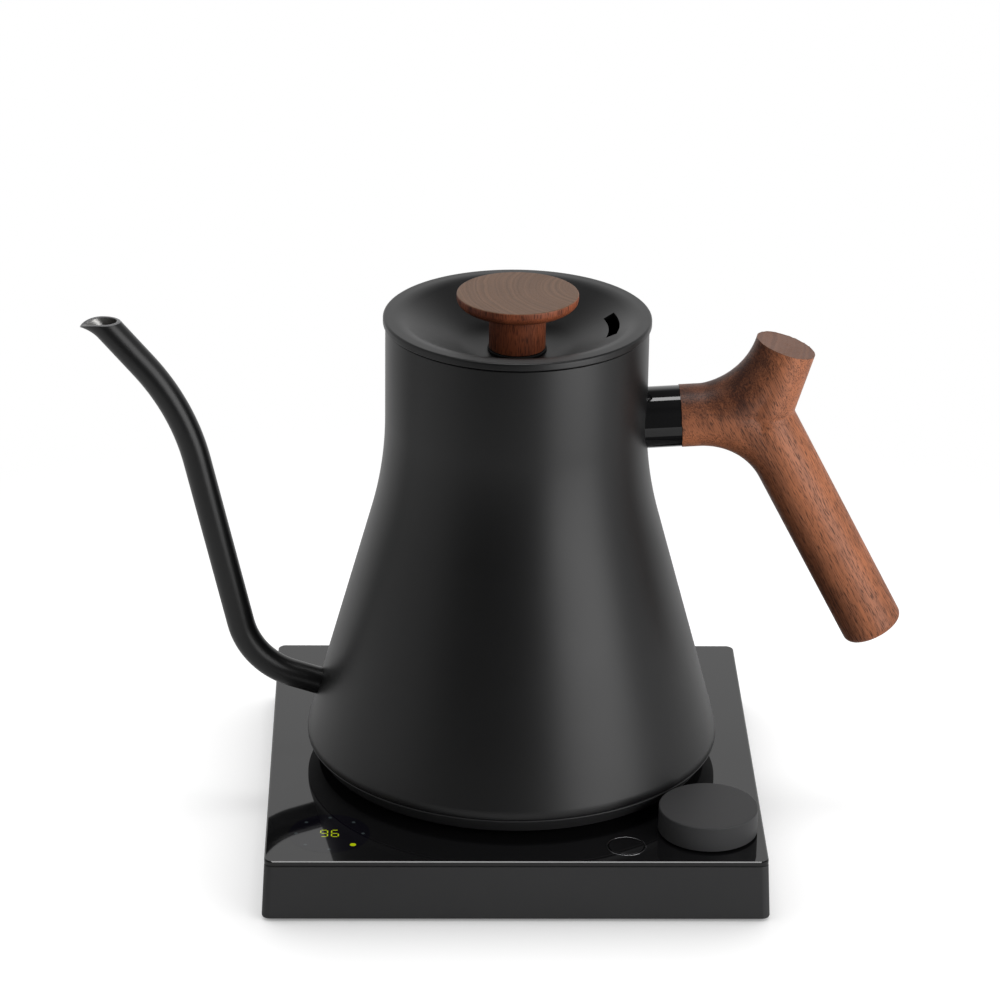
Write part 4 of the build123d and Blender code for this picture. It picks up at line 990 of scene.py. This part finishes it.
def fork_painted_shade(tree, place):
    """Painted shade on the handle: darker on the side of the fork that faces the body, more so higher up and
    a little further down the grip, with painted light under the arm near the body.
    """
    spot = add(tree, "SeparateXYZ", {"Vector": place}).node.outputs
    up = add(tree, "Math", (spot["Z"], arm_height * MM), operation="SUBTRACT")
    thumb = add(tree, "Math", (up, tan(radians(BRANCH_LEAN))), operation="MULTIPLY")
    grip = add(tree, "Math", (up, -tan(radians(GRIP_LEAN))), operation="MULTIPLY")
    middle = add(tree, "Math", (thumb, grip), operation="MAXIMUM")
    offset = add(tree, "Math", (spot["X"], middle), operation="SUBTRACT")
    fork = collar_end + (GRIP_REACH + BRANCH_REACH) / 2
    inner = add(
        tree, "MapRange", (offset, (fork - HANDLE_SHADE_IN) * MM, (fork + HANDLE_SHADE_OUT) * MM, 1, 0), **SMOOTH)
    depth = add(tree, "MapRange", (up, 0, HANDLE_SHADE_RISE * MM, 0.34, 0.74), **SMOOTH)
    inner = add(tree, "Math", (inner, depth), operation="MULTIPLY")
    # Painted light: the arm's underside near the body is drawn lighter.
    near_body = add(tree, "MapRange", (spot["X"], (fork - UNDER_ARM_LIGHT_OUT) * MM, (fork - UNDER_ARM_LIGHT_IN) * MM))
    under = add(tree, "MapRange", (up, UNDER_ARM_LIGHT_TOP * MM, UNDER_ARM_LIGHT_LOW * MM, 0, 0.32), **SMOOTH)
    under_arm_light = add(tree, "Math", (near_body, under), operation="MULTIPLY")
    inner = add(tree, "Math", (inner, under_arm_light), operation="SUBTRACT")
    lower = add(tree, "MapRange", (up, GRIP_SHADE_FROM * MM, GRIP_SHADE_TO * MM, 0, 0.16))
    return add(tree, "Math", (inner, lower), operation="ADD")


def round_end(end, axis, radius, rounding):
    """Round off the selected end ring of a bar."""
    reached = 0.0
    width = radius
    for step in range(1, GRIP_END_ROWS + 1):
        angle = radians(90 * step / GRIP_END_ROWS)
        ahead = rounding * sin(angle) - reached
        reached += ahead
        extrude(axis * ahead * MM)
        narrowed = radius - rounding * (1 - cos(angle))
        shrink = narrowed / width
        bpy.ops.transform.resize(value=(shrink,) * 3, center_override=end + axis * reached * MM)
        width = narrowed


def on_grip(distance):
    """Point along the grip's axis from the fork."""
    return leaning((collar_end + GRIP_REACH, arm_height), distance, GRIP_LEAN, -1.0)


def on_branch(distance):
    """Point along the thumb rest's axis from the fork."""
    return leaning((collar_end + BRANCH_REACH, arm_height), distance, BRANCH_LEAN)


def meeting(reach, lean, up):
    """Distance along a line of the fork at which it crosses the arm's axis."""
    across = up * cos(radians(lean)) - arm_slope * sin(radians(lean))
    return (collar_end + reach - ARM_PIVOT) * arm_slope / across


grip_lean = radians(GRIP_LEAN)
branch_lean = radians(BRANCH_LEAN)
grip_axis = Vector((sin(grip_lean), 0, -cos(grip_lean)))
branch_axis = Vector((sin(branch_lean), 0, cos(branch_lean)))
thumb_end = in_plane(on_branch(BRANCH_LENGTH))
grip_side = (collar_end + GRIP_REACH) * cos(grip_lean) + arm_height * sin(grip_lean)
# The dark tone serves both the wood's figure and the painted shade on the fork's inner side.
handle_walnut = walnut(
    "oiled_walnut_grip", (0, grip_lean, 0), fork_painted_shade, branch_axis, thumb_end.dot(branch_axis) / MM,
    (grip_side - GRIP_RINGS_IN, GRIP_RINGS_SIDE), ("#c2774f", "#4a2515", "#2c1710", "#875b43", "#6b4533"))

arm_spare = on_arm(collar_end - SPARE)
grip_start = on_grip(meeting(GRIP_REACH, GRIP_LEAN, -1.0))
branch_start = on_branch(meeting(BRANCH_REACH, BRANCH_LEAN, 1.0))
branch_spare = on_branch(BRANCH_LENGTH + SPARE)
grip_stop = on_grip(GRIP_LENGTH - GRIP_END_ROUND)
grip_end = in_plane(grip_stop)
grip = bent_bar("walnut_handle", GRIP_RADIUS, HANDLE_SIDES, [arm_spare, grip_start, grip_stop], [GRIP_BEND])
select(grip, "VERT", lambda corner: abs((corner.co - grip_end).dot(grip_axis)) < NEAR)
round_end(grip_end, grip_axis, GRIP_RADIUS, GRIP_END_ROUND)
mode("OBJECT")
thumb_rest = bent_bar(
    "thumb_rest", BRANCH_RADIUS, HANDLE_SIDES, [arm_spare, branch_start, branch_spare], [BRANCH_BEND])
mode("OBJECT")
limbs = [grip, thumb_rest]
for name, radius, start, end in (
        ("grip_root", GRIP_RADIUS, on_grip(GRIP_LENGTH / 2), on_grip(CROTCH_ON_GRIP)),
        ("thumb_root", BRANCH_RADIUS, branch_spare, on_branch(CROTCH_ON_BRANCH))):
    limbs.append(bent_bar(name, radius, HANDLE_SIDES, [start, end], []))
    mode("OBJECT")
    clear()
    bpy.ops.mesh.primitive_uv_sphere_add(
        segments=HANDLE_SIDES, ring_count=HANDLE_SIDES // 2, radius=radius * MM, location=in_plane(end))
    limbs.append(bpy.context.object)
for limb in limbs:
    clear()
    bpy.context.view_layer.objects.active = limb
    limb.select_set(True)
    mode("EDIT")
    select_whole()
    bpy.ops.mesh.fill_holes(sides=0)
    bpy.ops.mesh.normals_make_consistent(inside=False)
    mode("OBJECT")
join(limbs)
handle = settle("walnut_handle")
modify(handle, "REMESH", mode="VOXEL", voxel_size=CARVED_STEP * MM)
modify(handle, "SMOOTH", factor=0.5, iterations=SANDED_ROUNDS)
mode("EDIT")
for cut, axis in ((thumb_end, branch_axis), (in_plane(on_arm(collar_end)), -arm_axis)):
    select_whole()
    bpy.ops.mesh.bisect(plane_co=cut, plane_no=axis, clear_outer=True, use_fill=True)
    round_edges(handle, on_cut(cut, axis), SHARP_EDGE, 2)
finish_piece(handle, handle_walnut, "kettle", 40.0)
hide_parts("handle")

# Lid: a pressed stainless dish with a raised round rim, powder-coated black like the body.
# It has a steam slot towards the handle, and hangs in the neck on a moulded skirt.
LID_SIDES = 192
LID_GAP = 0.5
LID_EDGE_ROUND = 0.8
LID_LOW_ROUND = 0.4
LID_LAND = 42.4
LID_BROW = 10.0
LID_BOWL = 20.0
LID_FLAT = 11.0
LID_DEPTH = 12.3
LID_SHEET = 1.0
LID_SCREW_HOLE = 2.1
SLOT_IN = 31.0
SLOT_OUT = 34.7
SLOT_HALF = 17.0
SLOT_ROWS = 16
lid_radius, _, lid_top = box_mm("lid_cover")[1]
dish_floor = lid_top - LID_DEPTH
span = LID_LAND - LID_FLAT
climb = LID_BROW + LID_BOWL - LID_DEPTH
dish_slope = degrees(asin((LID_BROW + LID_BOWL) / hypot(span, climb)) - atan2(climb, span))


def dish(drop):
    """The dished line from the middle of the lid to its raised rim, a drop below the outer face."""
    bowl = arc(LID_FLAT, dish_floor + LID_BOWL, LID_BOWL + drop, -90, -90 + dish_slope, 10)
    brow = arc(LID_LAND, lid_top - LID_BROW, LID_BROW - drop, 90 + dish_slope, 90, 10)
    return bowl + brow


lid_foot = rim_height + LID_GAP
hem = NECK_RADIUS - WALL
lid = turned("lid_dish", [
    (LID_SCREW_HOLE, dish_floor), *dish(0),
    *rounded(lid_radius, lid_top, LID_EDGE_ROUND, 90, 0, 6),
    *rounded(lid_radius, lid_foot, LID_LOW_ROUND, 0, -90),
    (hem, lid_foot), (hem, lid_top - LID_SHEET),
    *dish(LID_SHEET)[::-1], (LID_SCREW_HOLE, dish_floor - LID_SHEET)], LID_SIDES)
mode("OBJECT")
clear()
bpy.ops.mesh.primitive_plane_add(size=1.0)
cutter = bpy.context.object
mode("EDIT")
slot_mesh = bmesh.from_edit_mesh(cutter.data)
slot_mesh.verts.ensure_lookup_table()
slot_start = Matrix.Rotation(radians(-SLOT_HALF), 3, "Z")
slot_corners = [(SLOT_IN, dish_floor), (SLOT_OUT, dish_floor), (SLOT_IN, lid_top), (SLOT_OUT, lid_top)]
for corner, (radius, height) in zip(slot_mesh.verts, slot_corners):
    corner.co = slot_start @ metres(radius, 0, height)
bmesh.update_edit_mesh(cutter.data)
select_whole()
bpy.ops.mesh.spin(steps=SLOT_ROWS, angle=radians(2 * SLOT_HALF), center=(0, 0, 0), axis=(0, 0, -1))
select_whole()
bpy.ops.mesh.normals_make_consistent(inside=False)
mode("OBJECT")
cut_away(lid, cutter)
finish_piece(lid, powder_coat, "lid", 30.0)
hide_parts("lid_cover")

# Knob: a low mushroom turned from walnut on the lathe, oiled, held by one screw up through the lid.
# A thin black silicone washer keeps its foot off the coating.
KNOB_SIDES = 128
KNOB_RIM = 1.8
KNOB_BELLY = 4.5
KNOB_EDGE = 0.45
KNOB_ROWS = 10
KNOB_RINGS = (28.0, 6.0)
# Painted shade across the knob, from its left to its right, in mm.
KNOB_SHADE_SPAN = (-16.0, 12.0)
STEM_RADIUS = 9.65
STEM_TOP = 10.6
STEM_EDGE = 0.3
knob_low, knob_high = box_mm("lid_knob")
knob_top = knob_high.z
knob_foot = knob_low.z
knob_radius = knob_high.x


def knob_painted_shade(tree, place):
    """Painted shade on the knob, darker towards its left side, away from the right softbox."""
    spot = add(tree, "SeparateXYZ", {"Vector": place}).node.outputs
    return add(tree, "MapRange", (spot["X"], *metres(*KNOB_SHADE_SPAN), 0.55, 0), **SMOOTH)


knob_walnut = walnut(
    "oiled_walnut_knob", (0, 0, 0), knob_painted_shade, skyward, knob_top, KNOB_RINGS,
    ("#ae5f3d", "#5e2f1d", "#2b120b", "#87644a", "#634632"))
rim_low = knob_top - KNOB_RIM
belly = knob_radius - STEM_TOP
knob_profile = [(0, knob_top)]
knob_profile += rounded(knob_radius, knob_top, KNOB_EDGE, 90, 0)
knob_profile += [(STEM_TOP + belly * cos(a), rim_low - KNOB_BELLY * sin(a))
                 for a in [radians(90 * step / KNOB_ROWS) for step in range(KNOB_ROWS + 1)]]
knob_profile += [(STEM_RADIUS, rim_low - KNOB_BELLY), (STEM_RADIUS, knob_foot + STEM_EDGE)]
knob_profile += [(STEM_RADIUS - STEM_EDGE, knob_foot), (0, knob_foot)]
knob = turned("walnut_knob", knob_profile, KNOB_SIDES)
finish_piece(knob, knob_walnut, "lid")
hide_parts("lid_knob")

# Rubber rings: the washer under the knob, the seal round the lid, the dark gasket in the seam above the foot
# ring and the ring that the base stands on. All are moulded with soft edges, black or grey, and quite matt.
SKIN_SIZE = 0.5
WASHER_HOLE = 2.1
WASHER_TRIM = 0.5
SEAL_HOLE = 42.0
GASKET_HOLE = 68.4
FOOT_HOLE = 62.0


def moulded_rubber(name, tones):
    """Moulded rubber: matt, with a slightly uneven skin."""
    return surface(name, SKIN_SIZE, tones, (0.6, 0.8), detail=3.0, relief=0.15, depth=0.03)


def soft_ring(inner, outer, low, high, rounding):
    """Closed profile of a ring with rounded edges."""
    points = rounded(outer, high, rounding, 90, 0)
    points += rounded(outer, low, rounding, 0, -90)
    points += rounded(inner, low, rounding, 270, 180)
    points += rounded(inner, high, rounding, 180, 90)
    return points


black_rubber = moulded_rubber("black_rubber", ("#0c0c0c", "#141414"))
grey_silicone = moulded_rubber("grey_silicone", ("#6a6a6a", "#7c7c7c"))
for name, node, body_name, slot, material, hole, trim, rounding in (
        ("knob_foot_ring", "knob_washer", "lid", "black_rubber", black_rubber, WASHER_HOLE, WASHER_TRIM, 0.3),
        ("lid_seal_ring", "lid_seal", "lid", "silicone", grey_silicone, SEAL_HOLE, 0, 0.6),
        ("seam_gasket", "shell_gasket", "kettle", "black_rubber", black_rubber, GASKET_HOLE, 0, 0.1),
        ("base_foot_ring", "rubber_foot", "base", "black_rubber", black_rubber, FOOT_HOLE, 0, 0.5)):
    low, high = box_mm(node)
    rubber = turned(name, soft_ring(hole, high.x - trim, low.z, high.z, rounding), BODY_SIDES)
    finish_piece(rubber, material, body_name)
    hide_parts(node)

# Button skirt: a hollow cone of grey silicone, moulded in one piece, that stands on the circuit board.
# It carries the button's flange; the real one folds a little when the button is pressed, but this piece keeps
# one shape.
CUP_WALL = 1.0
CUP_EDGE = 0.3
CUP_GAP = 0.05
cup_low, cup_high = box_mm("button_dome")
cup_foot = cup_low.z
cup_top = cup_high.z - CUP_GAP
cup_radius = (cup_high.x - cup_low.x) / 2
cup = turned("button_skirt", [
    *rounded(cup_radius, cup_foot, CUP_EDGE, -90, 0),
    *rounded(cup_radius - CUP_WALL, cup_top, CUP_EDGE, 0, 90),
    *rounded(cup_radius - 2 * CUP_WALL, cup_top, CUP_EDGE, 90, 180),
    *rounded(cup_radius - CUP_WALL, cup_foot, CUP_EDGE, 180, 270)], KEY_SIDES, button_centre)
finish_piece(cup, grey_silicone, "base")
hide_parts("button_dome")
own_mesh(cup)

# Lid skirt: a moulded black ring under the lid that guides it into the neck, with a groove for the seal.
# It is pressed into the lid's hem, and its lower edge is rounded so that it finds the neck.
SKIRT_IN = 41.2
SKIRT_GROOVE = 41.9
SKIRT_ROUND = 0.5
skirt_low, skirt_high = box_mm("lid_skirt")
seal_low, seal_high = box_mm("lid_seal")
skirt_out = skirt_high.x
skirt = turned("lid_guide_ring", [
    (SKIRT_IN, skirt_high.z), (skirt_out, skirt_high.z), (skirt_out, seal_high.z),
    (SKIRT_GROOVE, seal_high.z), (SKIRT_GROOVE, seal_low.z), (skirt_out, seal_low.z),
    *rounded(skirt_out, skirt_low.z, SKIRT_ROUND, 0, -90),
    *rounded(SKIRT_IN, skirt_low.z, SKIRT_ROUND, 270, 180)], LID_SIDES)
finish_piece(skirt, moulded_abs, "lid")
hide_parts("lid_skirt")

# Power socket: a round moulded plug in the middle of the base, which the kettle drops on from any side.
# A brass spring ring lies in its groove and a brass pin stands in its middle hole.
SOCKET_RADIUS = 17.5
SOCKET_ROUND = 0.8
SOCKET_EDGE = 0.4
GROOVE_IN = 9.0
GROOVE_OUT = 12.0
PIN_HOLE = 4.0
PIN_RADIUS = 2.0
CONTACT_OUT = 11.9
CONTACT_WALL = 0.7
SOCKET_FLANGE = 25.0
SOCKET_FLANGE_TOP = 18.4
SOCKET_FLANGE_LOW = 16.4
SOCKET_BODY = 20.0
BRASS_GRAIN = 0.8
socket_low, socket_high = box_mm("power_socket")
socket_top = socket_high.z
socket = turned("power_plug", [
    (0, SOCKET_FLANGE_LOW), (PIN_HOLE, SOCKET_FLANGE_LOW),
    *rounded(PIN_HOLE, socket_top, SOCKET_EDGE, 180, 90),
    *rounded(GROOVE_IN, socket_top, SOCKET_EDGE, 90, 0),
    (GROOVE_IN, SOCKET_FLANGE_LOW), (GROOVE_OUT, SOCKET_FLANGE_LOW),
    *rounded(GROOVE_OUT, socket_top, SOCKET_EDGE, 180, 90),
    *rounded(SOCKET_RADIUS, socket_top, SOCKET_ROUND, 90, 0, 6),
    (SOCKET_RADIUS, SOCKET_FLANGE_TOP), (SOCKET_FLANGE, SOCKET_FLANGE_TOP),
    (SOCKET_FLANGE, SOCKET_FLANGE_LOW), (SOCKET_BODY, SOCKET_FLANGE_LOW),
    (SOCKET_BODY, socket_low.z), (0, socket_low.z)], KEY_SIDES)
finish_piece(socket, moulded_abs, "base")
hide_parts("power_socket")

# Turned brass: warm yellow with a soft, slightly uneven shine.
turned_brass = metal("turned_brass", BRASS_GRAIN, ("#b08a3e", "#c9a255"), (0.22, 0.36))
contact_low, contact_high = box_mm("socket_contacts")
contact_foot = contact_low.z
pin_top = contact_high.z
pin_profile = [(0, pin_top)] + arc(0, pin_top - PIN_RADIUS, PIN_RADIUS, 80, 0, 6)
pin = turned("power_contacts", pin_profile + [(PIN_RADIUS, contact_foot), (0, contact_foot)], KEY_SIDES)
mode("OBJECT")
spring_profile = soft_ring(
    CONTACT_OUT - CONTACT_WALL, CONTACT_OUT, contact_foot, panel_high.z / MM, CONTACT_WALL / 3)
spring = turned("spring_ring", spring_profile, KEY_SIDES)
mode("OBJECT")
contacts = join([pin, spring])
finish_piece(contacts, turned_brass, "base")
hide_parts("socket_contacts")

# Cord bush: a black moulded bush in the back wall of the base, which the mains lead passes through.
# Its flange lies on the wall, and it is held from inside.
BUSH_BORE = 3.2
BUSH_NECK = 4.6
BUSH_FLANGE = 6.4
BUSH_SEAT = 2.4
BUSH_ROUND = 0.7
BUSH_MOUTH = 0.5
gland_low, gland_high = box_mm("cord_gland")
bush_start = gland_low.y
bush_end = gland_high.y
bush_seat = bush_end - BUSH_SEAT
bush = turned("cord_bush", [
    (BUSH_BORE, bush_start), (BUSH_NECK, bush_start), (BUSH_NECK, bush_seat), (BUSH_FLANGE, bush_seat),
    *rounded(BUSH_FLANGE, bush_end, BUSH_ROUND, 0, 90, 5),
    *rounded(BUSH_BORE, bush_end, BUSH_MOUTH, 90, 180)], KEY_SIDES)
mode("OBJECT")
bush.rotation_euler = (radians(-90), 0, 0)
bush.location = (0, 0, (gland_low.z + gland_high.z) / 2 * MM)
settle("cord_bush")
finish_piece(bush, moulded_abs, "base")
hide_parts("cord_gland")

# Inner parts: circuit boards, power parts, heater, contacts and screws, each in the finish of its kind.
# They stay as built, and are seen where the kettle or its lid is lifted.
WEAVE_SIZE = 1.2
CAST_GRAIN = 0.6
ZINC_GRAIN = 0.9
finishes = {
    "satin_black_steel": powder_coat,
    "bare_steel": brushed_steel,
    "walnut": handle_walnut,
    "black_gloss": polished_acrylic,
    "black_matte": moulded_abs,
    "black_rubber": black_rubber,
    "silicone": grey_silicone,
    # Cast aluminium: pale grey and dull.
    "aluminium": metal("cast_aluminium", CAST_GRAIN, ("#a4a5a6", "#bcbdbe"), (0.35, 0.5)),
    "brass": turned_brass,
    "chrome": polished_steel,
    # Coated circuit board: green lacquer over a glass weave, with an even shine.
    "circuit_board": surface(
        "coated_circuit_board", WEAVE_SIZE, ("#0d3d20", "#15532c"), (0.35, 0.35), detail=3.0),
    "dark_anodised": anodised,
    # Zinc-plated steel: cool grey, brighter than the casting.
    "zinc_steel": metal("zinc_plated_steel", ZINC_GRAIN, ("#8e8f91", "#a6a7a8"), (0.28, 0.42)),
}
for part in frame["record"]["subparts"]:
    node = frame["nodes"][part["node"]]
    node.data.materials.clear()
    node.data.materials.append(finishes[part["material_slot"]])
